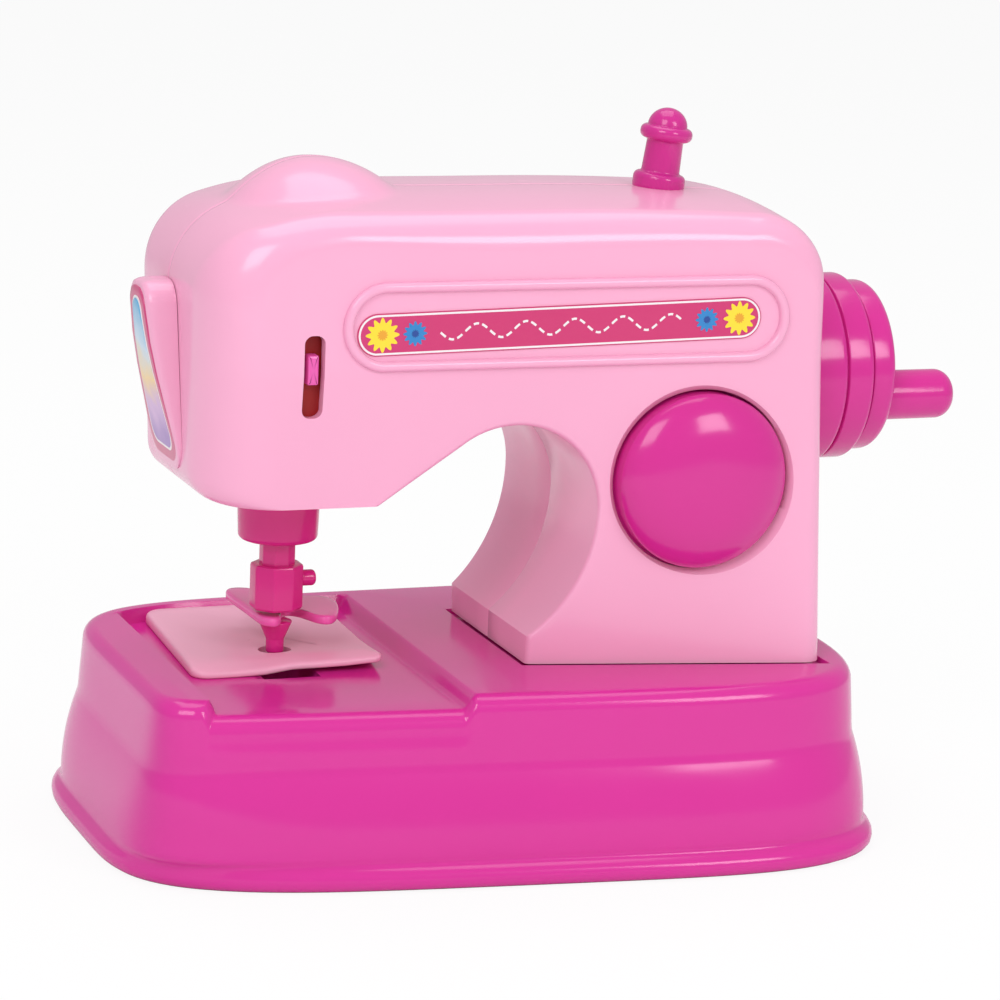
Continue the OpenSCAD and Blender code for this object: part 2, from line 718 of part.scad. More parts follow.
collar_top = 2;
carriage_below = 4.2;
carriage_above = 9.3;
carriage_left_half = 3.5;
carriage_right_half = 5;
carriage_low = shaft_z - carriage_below;
carriage_high = shaft_z + carriage_above;
carriage_left = needle_x - carriage_left_half;
carriage_right = needle_x + carriage_right_half;
foot_lift = 5;
foot_thick = 1.6;
foot_neck = 1.3;
clamp_height = 7.8;
clamp_floor = 2;
knob_drop = 3;
foot_low = base_height + foot_lift;
clamp_low = foot_low + foot_thick + foot_neck;
clamp_high = clamp_low + clamp_height;
eight = 8;

// An eight-sided bar measured across its flats
module octagon_bar(width, low, high) {
    translate([needle_x, 0, low]) rotate([0, 0, 180 / eight])
        cylinder(d = width / cos(180 / eight), h = high - low, $fn = eight);
}

module needle_bar_collar() {
    taper = 0.8;
    flange = 1;
    bottom_size = collar_size - taper;
    low = head_bottom - collar_length;
    color(magenta) difference() {
        translate([needle_x, 0, 0]) {
            translate([0, 0, low]) cylinder(d1 = bottom_size, d2 = collar_size, h = collar_length);
            translate([0, 0, head_bottom - cut]) cylinder(r = neck_radius, h = wall + 2 * cut);
            translate([0, 0, head_floor]) cylinder(d = collar_size + 2 * flange, h = collar_top);
        }
        octagon_bar(bar_width + 2 * slide_gap, low - cut, head_floor + collar_top + cut);
    }
}

module needle_bar() {
    color(magenta) octagon_bar(bar_width, clamp_low + clamp_floor, carriage_low);
}

module needle_clamp() {
    tap = 0.9;
    color(magenta) difference() {
        octagon_bar(clamp_width, clamp_low, clamp_high);
        octagon_bar(bar_width, clamp_low + clamp_floor, clamp_high + cut);
        along_x(needle_x + bar_width / 2, 0, clamp_high - knob_drop)
            cylinder(r = tap + fit, h = clamp_width);
    }
}

module clamp_screw() {
    tap = 0.9;
    knob = 1.45;
    reach = 2.7;
    color(magenta) along_x(needle_x + bar_width / 2, 0, clamp_high - knob_drop) {
        cylinder(r = tap, h = clamp_width / 2 - bar_width / 2 + cut);
        translate([0, 0, clamp_width / 2 - bar_width / 2]) cylinder(r = knob, h = reach);
    }
}

// The foot's outline as shares of its width and length: a long left bar, and a right lobe with a toe
bar_share = 0.3;
lobe_share = 0.22;
toe_share = 0.11;
toe_place_share = 0.7;
lobe_place_share = 0.48;
bridge_shares = [0.33, 0.64];
front_share = 0.2;
module foot_outline() {
    front = -foot_length * front_share;
    bar = foot_width * bar_share;
    lobe = foot_width * lobe_share;
    toe_radius = foot_width * toe_share;
    toe_x = foot_width * toe_place_share;
    lobe_y = front + foot_length * lobe_place_share;
    bridge = front + foot_length * bridge_shares[0];
    translate([bar / 2, front + foot_length / 2]) rotate([0, 0, 90]) stadium(foot_length, bar);
    translate([bar / 2, bridge]) square([toe_x, foot_length * (bridge_shares[1] - bridge_shares[0])]);
    translate([foot_width - lobe, lobe_y]) circle(lobe);
    translate([toe_x, front + toe_radius]) circle(toe_radius);
    polygon([[toe_x - toe_radius, front + toe_radius], [toe_x + toe_radius, front + toe_radius],
        [foot_width - cut, lobe_y], [foot_width - 2 * lobe, lobe_y]]);
}

module presser_foot() {
    neck = 4;
    color(magenta) difference() {
        union() {
            translate([needle_x - foot_width / 4, 0, foot_low]) linear_extrude(foot_thick) foot_outline();
            translate([needle_x, 0, foot_low + foot_thick]) cylinder(r = neck, h = foot_neck);
        }
        translate([needle_x, 0, foot_low - cut])
            cylinder(r = needle_radius + fit, h = clamp_low - foot_low + 2 * cut);
    }
}

module needle() {
    tip = 0.9;
    root_radius = 3;
    root = 3.2;
    below = 1.4;
    point = base_height - below;
    color(magenta) translate([needle_x, 0, 0]) {
        translate([0, 0, point + tip]) cylinder(r = needle_radius, h = clamp_low - point - tip);
        translate([0, 0, point]) cylinder(r1 = needle_radius / 2, r2 = needle_radius, h = tip);
        translate([0, 0, foot_low - root]) cylinder(r1 = needle_radius, r2 = root_radius, h = root);
    }
}

yoke_height = 3.4;
yoke_half = 5.8;
yoke_depth = 3;
rest_lift = 0.6;
module needle_carriage() {
    color(white_plastic) difference() {
        translate([carriage_left, -guide_half, carriage_low])
            cube([carriage_right - carriage_left, 2 * guide_half, carriage_high - carriage_low]);
        translate([carriage_right - yoke_depth, -yoke_half, shaft_z + rest_lift - yoke_height / 2])
            cube([yoke_depth + cut, 2 * yoke_half, yoke_height]);
    }
}

module take_up_lever() {
    tab_width = 2;
    tab_height = 5.2;
    proud = 1.6;
    color(magenta) translate([slot_x - tab_width / 2, -half_depth - proud, carriage_high - tab_height])
        cube([tab_width, half_depth + proud - guide_half, tab_height]);
}

module carriage_guide() {
    above_collar = 2.8;
    below_top = 16.2;
    low = head_floor + collar_top + above_collar;
    high = body_top - below_top;
    reach = guide_half + slide_gap;
    out = reach + guide_thickness;
    back_right = carriage_left - slide_gap;
    back_left = back_right - guide_thickness;
    cheek_left = slot_x + slot_width / 2;
    bridge = 4;
    color(white_plastic) union() {
        translate([cheek_left, -out, low]) cube([carriage_right - cheek_left, guide_thickness, high - low]);
        translate([cheek_left, reach, low]) cube([carriage_right - cheek_left, guide_thickness, high - low]);
        translate([back_left, -out, low]) cube([guide_thickness, 2 * out, high - low]);
        for (z = [low, high - bridge]) for (y = [-out, reach])
            translate([back_left, y, z]) cube([cheek_left - back_left + cut, guide_thickness, bridge]);
    }
}

// Wheel, shaft and crank

wheel_gap = 0.5;
wheel_left = pillar_right + wheel_gap;
second_step_share = 0.78;
third_step_share = 0.69;
second_disc_share = 0.965;
third_disc_share = 0.885;
second_step = wheel_step * second_step_share;
third_step = wheel_step * third_step_share;
wheel_right = wheel_left + wheel_step + second_step + third_step;
handle_y = -7;
handle_drop = 4.6;
handle_z = shaft_z - handle_drop;
handle_root = 2.5;
handle_sink = 6;
disc_right = -26.5;
disc_thickness = 3;
pin_reach = 2.7;
pin_radius = 1.5;
pin_angle = asin(rest_lift / crank_throw);

module rounded_disc(radius, width, edge) {
    rotate_extrude($fn = 96) {
        square([radius - edge, width]);
        translate([0, edge]) square([radius, width - 2 * edge]);
        for (y = [edge, width - edge]) translate([radius - edge, y]) circle(edge);
    }
}

module hand_wheel() {
    edge = 2;
    color(magenta) difference() {
        along_x(wheel_left, 0, shaft_z) {
            rounded_disc(wheel_radius, wheel_step, edge);
            translate([0, 0, wheel_step - edge])
                rounded_disc(wheel_radius * second_disc_share, second_step + edge, edge);
            translate([0, 0, wheel_step + second_step - edge])
                rounded_disc(wheel_radius * third_disc_share, third_step + edge, edge);
        }
        along_x(wheel_left - cut, 0, shaft_z)
            cylinder(r = shaft_radius + fit, h = wheel_step + second_step);
        along_x(wheel_right - handle_sink, handle_y, handle_z)
            cylinder(r = handle_root + fit, h = handle_sink + cut);
    }
}

module crank_handle() {
    round_tip = 3;
    color(magenta) {
        along_x(wheel_right, handle_y, handle_z) rounded_handle(handle_size / 2, handle_length, round_tip);
        along_x(wheel_right - handle_sink, handle_y, handle_z)
            cylinder(r = handle_root, h = handle_sink + cut);
    }
}
module rounded_handle(radius, length, edge) {
    rotate_extrude() {
        square([radius - edge, length]);
        square([radius, length - edge]);
        translate([radius - edge, length - edge]) intersection() {
            circle(edge);
            square(edge);
        }
    }
}

module main_shaft() {
    left = disc_right - disc_thickness;
    right = wheel_left + wheel_step + second_step - cut;
    color(steel) along_x(left, 0, shaft_z) cylinder(r = shaft_radius, h = right - left);
}

module bush() {
    flange = 1.2;
    flange_radius = 5;
    difference() {
        union() {
            cylinder(r = bush_radius, h = wall);
            translate([0, 0, -flange]) cylinder(r = flange_radius, h = flange);
        }
        translate([0, 0, -flange - cut]) cylinder(r = shaft_radius + run, h = wall + flange + 2 * cut);
    }
}
module shaft_bushes() {
    color(white_plastic) {
        along_x(pillar_right - wall, 0, shaft_z) bush();
        along_x(rib_x, 0, shaft_z) bush();
    }
}

disc_radius = 7.5;
module crank_disc() {
    color(white_plastic) difference() {
        along_x(disc_right - disc_thickness, 0, shaft_z) cylinder(r = disc_radius, h = disc_thickness);
        along_x(disc_right - disc_thickness - cut, 0, shaft_z)
            cylinder(r = shaft_radius + fit, h = disc_thickness + 2 * cut);
        along_x(disc_right - disc_thickness - cut, crank_throw * cos(pin_angle), shaft_z + rest_lift)
            cylinder(r = pin_radius + fit, h = disc_thickness + 2 * cut);
    }
}
module crank_pin() {
    left = disc_right - disc_thickness - pin_reach;
    color(steel) along_x(left, crank_throw * cos(pin_angle), shaft_z + rest_lift)
        cylinder(r = pin_radius, h = disc_thickness + pin_reach);
}

// Gears: straight-sided teeth, with play

wheel_teeth = 40;
small_teeth = 10;
motor_teeth = 8;
idler_drop = sqrt(pow(gear_module * (wheel_teeth + small_teeth) / 2, 2) - idler_y * idler_y);
idler_z = shaft_z - idler_drop;
motor_z = idler_z - gear_module * (wheel_teeth + motor_teeth) / 2;
idler_angle = atan2(-idler_drop, idler_y);
axle_radius = 1;
drive_x = 50.8;
gear_width = 2.4;
idler_x = 47.6;

// Teeth as shares of the module and of the pitch: tip and root heights, half widths at tip, pitch and root
tip_share = 0.7;
root_share = 1.05;
tip_width_share = 0.09;
root_width_share = 0.24;
module gear(teeth, width, bore) {
    r = gear_module * teeth / 2;
    step = 360 / teeth;
    tip = r + gear_module * tip_share;
    root = r - gear_module * root_share;
    difference() {
        linear_extrude(width) polygon([for (i = [0 : teeth - 1]) for (k = [[root, -root_width_share],
            [tip, -tip_width_share], [tip, tip_width_share], [root, root_width_share]])
            k[0] * [cos((i + k[1]) * step), sin((i + k[1]) * step)]]);
        translate([0, 0, -cut]) cylinder(r = bore, h = width + 2 * cut);
    }
}

module drive_gear() {
    color(white_plastic) along_x(drive_x, 0, shaft_z) rotate([0, 0, idler_angle])
        gear(wheel_teeth, gear_width, shaft_radius + fit);
}

module idler_gear() {
    color(white_plastic) along_x(idler_x, idler_y, idler_z) {
        rotate([0, 0, -90]) gear(wheel_teeth, gear_width, axle_radius + run);
        translate([0, 0, gear_width]) rotate([0, 0, idler_angle + 180 + 180 / small_teeth])
            gear(small_teeth, drive_x - idler_x, axle_radius + run);
    }
}

module idler_axle() {
    color(steel) along_x(bracket_x, idler_y, idler_z)
        cylinder(r = axle_radius, h = pillar_right - wall - bracket_x);
}

motor_radius = 10;
motor_length = 25;
motor_flat = 7.5;
boss_radius = 3;
boss = 1.6;
shaft_hole = 5;
motor_shaft = 1;
module motor() {
    color(steel) difference() {
        union() {
            intersection() {
                along_x(bracket_x - motor_length, idler_y, motor_z)
                    cylinder(r = motor_radius, h = motor_length);
                translate([bracket_x - motor_length - cut, idler_y - motor_radius, motor_z - motor_flat])
                    cube([motor_length + 2 * cut, 2 * motor_radius, 2 * motor_flat]);
            }
            along_x(bracket_x - cut, idler_y, motor_z) cylinder(r = boss_radius, h = boss + cut);
        }
        along_x(bracket_x - shaft_hole, idler_y, motor_z)
            cylinder(r = motor_shaft + run, h = shaft_hole + boss + cut);
    }
}

module motor_bracket() {
    margin = 9;
    above = 5;
    low = motor_z - margin;
    high = idler_z + above;
    front = idler_y - margin;
    color(white_plastic) difference() {
        translate([bracket_x, front, low]) cube([bracket_thickness, bracket_back - front, high - low]);
        along_x(bracket_x - cut, idler_y, motor_z)
            cylinder(r = boss_radius + fit, h = bracket_thickness + 2 * cut);
        along_x(bracket_x - cut, idler_y, idler_z)
            cylinder(r = axle_radius + fit, h = bracket_thickness + 2 * cut);
    }
}

module motor_pinion() {
    color(dark_plastic) {
        along_x(idler_x - cut, idler_y, motor_z) rotate([0, 0, 90 + 180 / motor_teeth])
            gear(motor_teeth, gear_width + 2 * cut, motor_shaft / 2);
        along_x(bracket_x - shaft_hole + cut, idler_y, motor_z)
            cylinder(r = motor_shaft, h = idler_x + gear_width - bracket_x + shaft_hole);
    }
}

// Button and switch

button_proud = 0.3;
button_front = half_depth + button_proud;
button_skirt = 4;
stem_radius = 3;
stem_length = 5.5;
stem_end = button_front - button_skirt - stem_length;
tab_size = 6;
tab_clearance = 1.2;
tab_front = half_depth - wall - tab_clearance;
tab_thick = 1.4;
module push_button() {
    dome_ball = (button_radius * button_radius + button_dome * button_dome) / (2 * button_dome);
    color(magenta) {
        to_front(button_x, 0, button_z) {
            translate([0, 0, button_front - button_skirt])
                cylinder(r = button_radius, h = button_skirt, $fn = 96);
            translate([0, 0, stem_end])
                cylinder(r = stem_radius, h = button_front - button_skirt - stem_end + cut);
            intersection() {
                translate([0, 0, button_front + button_dome - dome_ball]) sphere(dome_ball, $fn = 96);
                translate([0, 0, button_front - cut])
                    cylinder(r = button_radius, h = button_dome + 2 * cut, $fn = 96);
            }
        }
        for (side = [-1, 1])
            translate([button_x - tab_size / 2, -tab_front,
                button_z + side * (button_radius + slide_gap) - tab_thick])
                cube([tab_size, tab_thick, 2 * tab_thick]);
        translate([button_x + button_radius - tab_thick, -tab_front, button_z - tab_size / 2])
            cube([2 * tab_thick, tab_thick, tab_size]);
    }
}

switch_size = 6;
switch_height = 3.6;
plunger_radius = 1.6;
plunger_reach = stem_end - button_travel - bracket_y - switch_height - slide_gap;
module button_switch() {
    color(dark_plastic) union() {
        translate([button_x - switch_size / 2, -bracket_y - switch_height, button_z - switch_size / 2])
            cube([switch_size, switch_height, switch_size]);
        to_front(button_x, -bracket_y - switch_height + cut, button_z)
            cylinder(r = plunger_radius, h = plunger_reach + cut);
    }
}

module switch_bracket() {
    width = 10;
    thickness = 2;
    color(white_plastic)
        translate([button_x - width / 2, -bracket_y, bracket_posts[1].y - post_size])
            cube([width, thickness, bracket_posts[0].y - bracket_posts[1].y + 2 * post_size]);
}

module spool_pin() {
    flange = 2.4;
    flange_radius = 4.75;
    column = 3.45;
    column_height = 7.4;
    top_flange = 2.6;
    cap = 3.7;
    edge = 1.1;
    lift = 0.35;
    color(magenta) translate([spool_x, 0, top_z(spool_x)]) rotate([0, spool_lean, 0])
        translate([0, 0, lift]) {
        rounded_disc(flange_radius, flange, edge);
        cylinder(r = column, h = flange + column_height);
        translate([0, 0, flange + column_height - edge]) rounded_disc(flange_radius, top_flange, edge);
        translate([0, 0, flange + column_height + top_flange - edge]) intersection() {
            sphere(cap);
            translate([-cap - cut, -cap - cut, -cut]) cube([2 * (cap + cut), 2 * (cap + cut), cap + 2 * cut]);
        }
        translate([0, 0, -2 * wall]) cylinder(r = spool_root, h = 2 * wall + cut);
    }
}

base_shell();
base_cover();
base_cover_screws();
front_shell();
rear_shell();
shell_screws();
foot_screws();
hand_wheel();
crank_handle();
main_shaft();
shaft_bushes();
crank_disc();
crank_pin();
needle_carriage();
carriage_guide();
take_up_lever();
needle_bar();
needle_bar_collar();
needle_clamp();
clamp_screw();
presser_foot();
needle();
cloth_plate();
spool_pin();
push_button();
button_switch();
switch_bracket();
front_label();
end_panel();
end_label();
motor();
motor_bracket();
motor_pinion();
idler_gear();
idler_axle();
drive_gear();
battery_box();
batteries();
battery_contacts();
battery_door();
battery_door_screw();
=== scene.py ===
"""Toy sewing machine: smooth moulded shells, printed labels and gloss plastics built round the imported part.

Lengths in the functions are in millimetres and are put into the meshes in metres.
X runs towards the hand wheel, Y to the back, Z up from the table.
"""
import json
import math
from types import SimpleNamespace

import bmesh
import bpy
import numpy as np
from mathutils import Matrix, Vector


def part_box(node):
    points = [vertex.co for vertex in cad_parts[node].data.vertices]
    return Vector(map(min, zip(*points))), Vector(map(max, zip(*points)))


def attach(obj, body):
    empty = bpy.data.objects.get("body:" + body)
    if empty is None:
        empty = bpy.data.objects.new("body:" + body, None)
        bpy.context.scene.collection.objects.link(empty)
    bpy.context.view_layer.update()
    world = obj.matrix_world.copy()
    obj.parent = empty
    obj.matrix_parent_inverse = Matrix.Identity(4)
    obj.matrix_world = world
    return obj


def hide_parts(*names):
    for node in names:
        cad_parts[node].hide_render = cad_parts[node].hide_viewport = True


bl_info = {
    "name": "Toy Sewing Machine",
    "version": (1, 0, 0),
    "blender": (4, 5, 0),
    "location": "View3D > Sidebar > Toy",
    "description": "Builds a pink toy sewing machine over its packed part",
    "category": "Object",
}

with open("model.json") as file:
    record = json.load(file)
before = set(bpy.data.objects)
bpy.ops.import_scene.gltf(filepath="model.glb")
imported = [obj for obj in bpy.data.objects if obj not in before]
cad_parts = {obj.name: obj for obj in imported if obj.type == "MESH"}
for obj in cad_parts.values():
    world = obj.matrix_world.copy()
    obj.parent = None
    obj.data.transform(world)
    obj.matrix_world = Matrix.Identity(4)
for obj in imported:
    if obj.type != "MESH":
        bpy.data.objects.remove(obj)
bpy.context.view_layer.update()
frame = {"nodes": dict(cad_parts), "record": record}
MM = 0.001


def node_box(node):
    """Lowest and highest corner of a CAD node at rest, in millimetres."""
    low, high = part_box(node)
    return np.array(low) / MM, np.array(high) / MM


def node_middle(node):
    """Middle of a CAD node's box at rest, in millimetres."""
    low, high = node_box(node)
    return (low + high) / 2


# Properties

def length(name, mm, description):
    """A length that is given in millimetres and kept in metres."""
    return bpy.props.FloatProperty(name=name, description=description, default=mm * MM, precision=5, unit="LENGTH")


def tint(name, rgb, description):
    """A colour, as linear red, green and blue."""
    return bpy.props.FloatVectorProperty(
        name=name, description=description, default=rgb, size=3, min=0, max=1, subtype="COLOR")


class ToyBaseSizes(bpy.types.PropertyGroup):
    """Sizes of the flared base and its work area."""
    half_length: length("Half length", 66.9, "Half length of the base at its upper wall")
    half_depth: length("Half depth", 40.6, "Half depth of the base at its upper wall, in the middle")
    centre: length("Centre", -1.9, "Middle of the base along the machine")
    widen: length("Slant", 10, "How far the front stands out over each 100 mm towards the wheel")
    height: length("Height", 33, "Height of the base")
    lip_out: length("Lip", 5.7, "How far the bottom lip stands out past the upper wall")
    lip_height: length("Lip height", 4.4, "Height of the bottom lip")
    crease: length("Crease height", 20.4, "Height at which the bell flare starts")
    draft: length("Draft", 0.8, "How far the upper wall slopes out down to the crease")
    edge: length("Top edge radius", 3, "Radius round the top edge")
    recess_left: length("Work area left", -58, "Left end of the lowered work area")
    recess_right: length("Work area right", -14.5, "Right end of the lowered work area")
    recess_back: length("Work area back", 35, "Back end of the lowered work area")
    recess_depth: length("Work area depth", 2.6, "Depth of the lowered work area")


class ToyBodySizes(bpy.types.PropertyGroup):
    """Sizes of the C-shaped body."""
    head_bottom: length("Head underside", 63.7, "Height of the head's underside")
    top: length("Body top", 116.2, "Height of the body's top")
    half_depth: length("Half depth", 26, "Half depth of the arm")
    toe_half: length("Toe half depth", 20, "Half depth of the pillar's foot at the arch")
    heel_half: length("Heel half depth", 30, "Half depth of the pillar's foot at the wheel")
    lean_top: length("Lean start", 87.8, "Height below which the front leans")
    left_low: length("Head left, low", -58.1, "Left end of the head at its bottom")
    left_high: length("Head left, high", -58.7, "Left end of the head at its top")
    right: length("Pillar right", 57, "Right end of the pillar")
    foot_left: length("Foot left", 3, "Left end of the foot")
    toe_height: length("Toe height", 5.1, "Height of the toe of the foot")
    arch_radius: length("Arch radius", 16.1, "Radius of the arch under the arm")
    head_right: length("Head right", -26.5, "Right edge of the head's underside")
    wall: length("Wall", 2.2, "Thickness of the shells")
    dome_x: length("Dome place", -33.4, "Place of the dome along the machine")
    dome_rise: length("Dome rise", 5.7, "Height of the dome above the top")
    dome_ball: length("Dome ball", 22.8, "Radius of the ball that the dome is cut from")


class ToyColours(bpy.types.PropertyGroup):
    """Colours of the plastics and prints."""
    body: tint("Body", (0.89, 0.405, 0.60), "Light pink of the shells")
    base: tint("Base", (0.66, 0.026, 0.305), "Magenta of the base")
    control: tint("Controls", (0.63, 0.022, 0.275), "Magenta of the wheel, button and spool pin")
    needle: tint("Needle group", (0.68, 0.018, 0.235), "Crimson of the needle group")
    pad: tint("Cloth pad", (0.87, 0.42, 0.575), "Pale pink of the cloth pad")
    label: tint("Label", (0.60, 0.026, 0.155), "Crimson of the printed strip")


# Numpy forms

def smooth_step(low, high, v):
    """0 below low, 1 above high, and the cubic 3t^2 - 2t^3 between them."""
    t = np.clip((v - low) / (high - low), 0, 1)
    return t * t * (3 - 2 * t)


def line(a, b, n):
    """n points from a towards b, without b."""
    return np.linspace(a, b, n, endpoint=False)


def arc(centre, radius, start, end, n):
    """n points on a circle from one angle towards another (degrees), without the last."""
    a = np.radians(np.linspace(start, end, n, endpoint=False))
    return np.array(centre) + radius * np.column_stack((np.cos(a), np.sin(a)))


def round_corners(points, radii, steps=8, closed=False):
    """A polyline with its corners replaced by arcs: each arc touches both sides at radius * tan(half turn)."""
    points = np.array(points, float)
    out = []
    for k, (p, r) in enumerate(zip(points, radii)):
        inner = closed or 0 < k < len(points) - 1
        if not inner or r <= 0:
            out.append(p[None])
            continue
        u = points[k - 1] - p
        v = points[(k + 1) % len(points)] - p
        u, v = u / np.linalg.norm(u), v / np.linalg.norm(v)
        half = math.acos(np.clip(u @ v, -1, 1)) / 2
        mid = (u + v) / np.linalg.norm(u + v)
        centre = p + mid * r / math.sin(half)
        a = p + u * r / math.tan(half) - centre
        b = p + v * r / math.tan(half) - centre
        sweep = math.acos(np.clip(a @ b / r / r, -1, 1))
        t = np.linspace(0, 1, steps)[:, None]
        out.append(centre + (a * np.sin((1 - t) * sweep) + b * np.sin(t * sweep)) / math.sin(sweep))
    return np.concatenate(out)


def box_loop(middle, half, low, high, radius, steps):
    """A closed rectangle about a middle line, from low to high, with round corners."""
    left, right = middle - half, middle + half
    return round_corners([(left, low), (right, low), (right, high), (left, high)], [radius] * 4, steps, True)


def denser(loop, n):
    """A closed loop with each of its sides cut into n."""
    return np.concatenate([line(p, q, n) for p, q in zip(loop, np.roll(loop, -1, axis=0))])


def spline_loop(points, per_span=10):
    """A closed Catmull-Rom curve through the points: each span is a cubic of its four neighbours."""
    p = np.array(points, float)
    t = np.linspace(0, 1, per_span, endpoint=False)[None, :, None]
    a, b, c, d = (np.roll(p, s, axis=0)[:, None] for s in (1, 0, -1, -2))
    curve = b + t / 2 * (c - a + t * (2 * a - 5 * b + 4 * c - d + t * (3 * (b - c) + d - a)))
    return curve.reshape(-1, p.shape[1])


def stadium_loop(long, high, n=24):
    """A stadium: two half circles of the height joined by straight sides."""
    reach, r = (long - high) / 2, high / 2
    right = arc((reach, 0), r, -90, 90, n)
    left = arc((-reach, 0), r, 90, 270, n)
    low = line(left[-1], right[0], 40)[1:]
    return np.concatenate((right, line((reach, r), left[0], 40), left, low))


def outward(loop):
    """Unit normals of a closed counter-clockwise plane loop, from the chord between each point's neighbours."""
    chord = np.roll(loop, -1, axis=0) - np.roll(loop, 1, axis=0)
    n = np.column_stack((chord[:, 1], -chord[:, 0]))
    return n / np.linalg.norm(n, axis=1, keepdims=True)


def grid_faces(rows, columns, closed_rows=False, closed_columns=False):
    """Quads of a grid of rows by columns, joined round where a direction is closed."""
    i = np.arange(rows if closed_rows else rows - 1)
    j = np.arange(columns if closed_columns else columns - 1)
    i, j = (a.ravel() for a in np.meshgrid(i, j, indexing="ij"))
    i2, j2 = (i + 1) % rows, (j + 1) % columns
    return np.column_stack((i * columns + j, i2 * columns + j, i2 * columns + j2, i * columns + j2))


def join_grids(*grids):
    """Points and quads of several grids, each (array, closed rows, closed columns), as one list."""
    points, faces, start = [], [], 0
    for array, closed_rows, closed_columns in grids:
        points.append(array.reshape(-1, 3))
        faces.append(grid_faces(*array.shape[:2], closed_rows, closed_columns) + start)
        start += len(points[-1])
    return np.concatenate(points), np.concatenate(faces)


def mesh_object(name, points, faces, sharp=35):
    """A smooth-shaded mesh from points in millimetres, with doubles merged and faces turned outwards."""
    mesh = bpy.data.meshes.new(name)
    mesh.from_pydata((points * MM).tolist(), [], faces.tolist())
    work = bmesh.new()
    work.from_mesh(mesh)
    bmesh.ops.remove_doubles(work, verts=work.verts, dist=2e-7)
    bmesh.ops.dissolve_degenerate(work, edges=work.edges, dist=1e-7)
    bmesh.ops.recalc_face_normals(work, faces=work.faces)
    work.to_mesh(mesh)
    work.free()
    soften(mesh, sharp)
    obj = bpy.data.objects.new(name, mesh)
    bpy.context.scene.collection.objects.link(obj)
    return obj


def soften(mesh, sharp):
    """Smooth shading, with edges sharper than an angle (degrees) left hard."""
    mesh.polygons.foreach_set("use_smooth", np.ones(len(mesh.polygons), bool))
    mesh.set_sharp_from_angle(angle=math.radians(sharp))


def piece(obj, body, slot, material, *nodes):
    """Gives a piece its material and the body it moves with, and hides the CAD nodes it stands for. The record slot is
    not used.
    """
    obj.data.materials.clear()
    obj.data.materials.append(material)
    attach(obj, body)
    if nodes:
        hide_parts(*nodes)
    return obj


def lathe(profile, origin, axis, segments=96):
    """Points of a profile (radius, height) carried round an axis: origin + height * axis + radius * (cos, sin)."""
    w = np.array(axis, float) / np.linalg.norm(axis)
    u = np.cross(w, (0, 1, 0) if abs(w[1]) < 0.9 else (1, 0, 0))
    u /= np.linalg.norm(u)
    v = np.cross(w, u)
    a = np.linspace(0, 2 * np.pi, segments, endpoint=False)
    ring = np.cos(a)[:, None] * u + np.sin(a)[:, None] * v
    profile = np.array(profile, float)
    return np.array(origin) + profile[:, 1, None, None] * w + profile[:, 0, None, None] * ring


def lathe_object(name, profile, origin, axis, segments=96, sharp=35):
    """A turned piece."""
    return mesh_object(name, *join_grids((lathe(profile, origin, axis, segments), False, True)), sharp)


def plate(loop, levels, lift):
    """Rings of a plane loop set in along its normals, one for each (inset, height), closed at the middle of the
    first and last. lift turns the plane points and a height into points in space."""
    normal, middle = outward(loop), loop.mean(axis=0)
    rings = [lift(loop - normal * inset, np.full(len(loop), height)) for inset, height in levels]
    first, last = levels[0], levels[-1]
    shrink = np.linspace(0.9, 0.0, 10)

    def filled(level):
        edge = loop - normal * level[0]
        return [lift(middle + (edge - middle) * s, np.full(len(loop), level[1])) for s in shrink]

    return np.stack(filled(first)[::-1] + rings + filled(last))


def plate_object(name, loop, levels, lift, sharp=35):
    """A closed piece made of the rings of a plate."""
    return mesh_object(name, *join_grids((plate(loop, levels, lift), False, True)), sharp)


def on_front(y):
    """Lifts plane points (x, z) and a height to a face at -y, the height standing out to the front."""
    return lambda p, h: np.column_stack((p[:, 0], -y - h, p[:, 1]))


def on_floor(p, h):
    """Lifts plane points (x, y) and a height straight up."""
    return np.column_stack((p[:, 0], p[:, 1], h))


def carve(obj, *cutters, sharp=35):
    """Cuts closed pieces out of another and removes them."""
    for cutter in cutters:
        modifier = obj.modifiers.new("cut", "BOOLEAN")
        modifier.object = cutter
        modifier.operation = "DIFFERENCE"
        modifier.solver = "EXACT"
    graph = bpy.context.evaluated_depsgraph_get()
    mesh = bpy.data.meshes.new_from_object(obj.evaluated_get(graph))
    obj.modifiers.clear()
    old, obj.data = obj.data, mesh
    mesh.name = old.name
    bpy.data.meshes.remove(old)
    soften(mesh, sharp)
    for cutter in cutters:
        bpy.data.objects.remove(cutter)


def in_mm(group):
    """The lengths of a property group as plain millimetres."""
    return SimpleNamespace(**{k: getattr(group, k) / MM for k in group.__annotations__})


# Materials

def node_group(name, inputs, outputs):
    """An empty shader group with named sockets, and the nodes at its two ends."""
    group = bpy.data.node_groups.new(name, "ShaderNodeTree")
    for label, kind, value in inputs:
        socket = group.interface.new_socket(label, in_out="INPUT", socket_type=kind)
        socket.default_value = value
    for label, kind in outputs:
        group.interface.new_socket(label, in_out="OUTPUT", socket_type=kind)
    return group, group.nodes.new("NodeGroupInput"), group.nodes.new("NodeGroupOutput")


def set_inputs(node, values):
    """Sets a node's inputs by their names."""
    for name, value in values.items():
        node.inputs[name].default_value = value


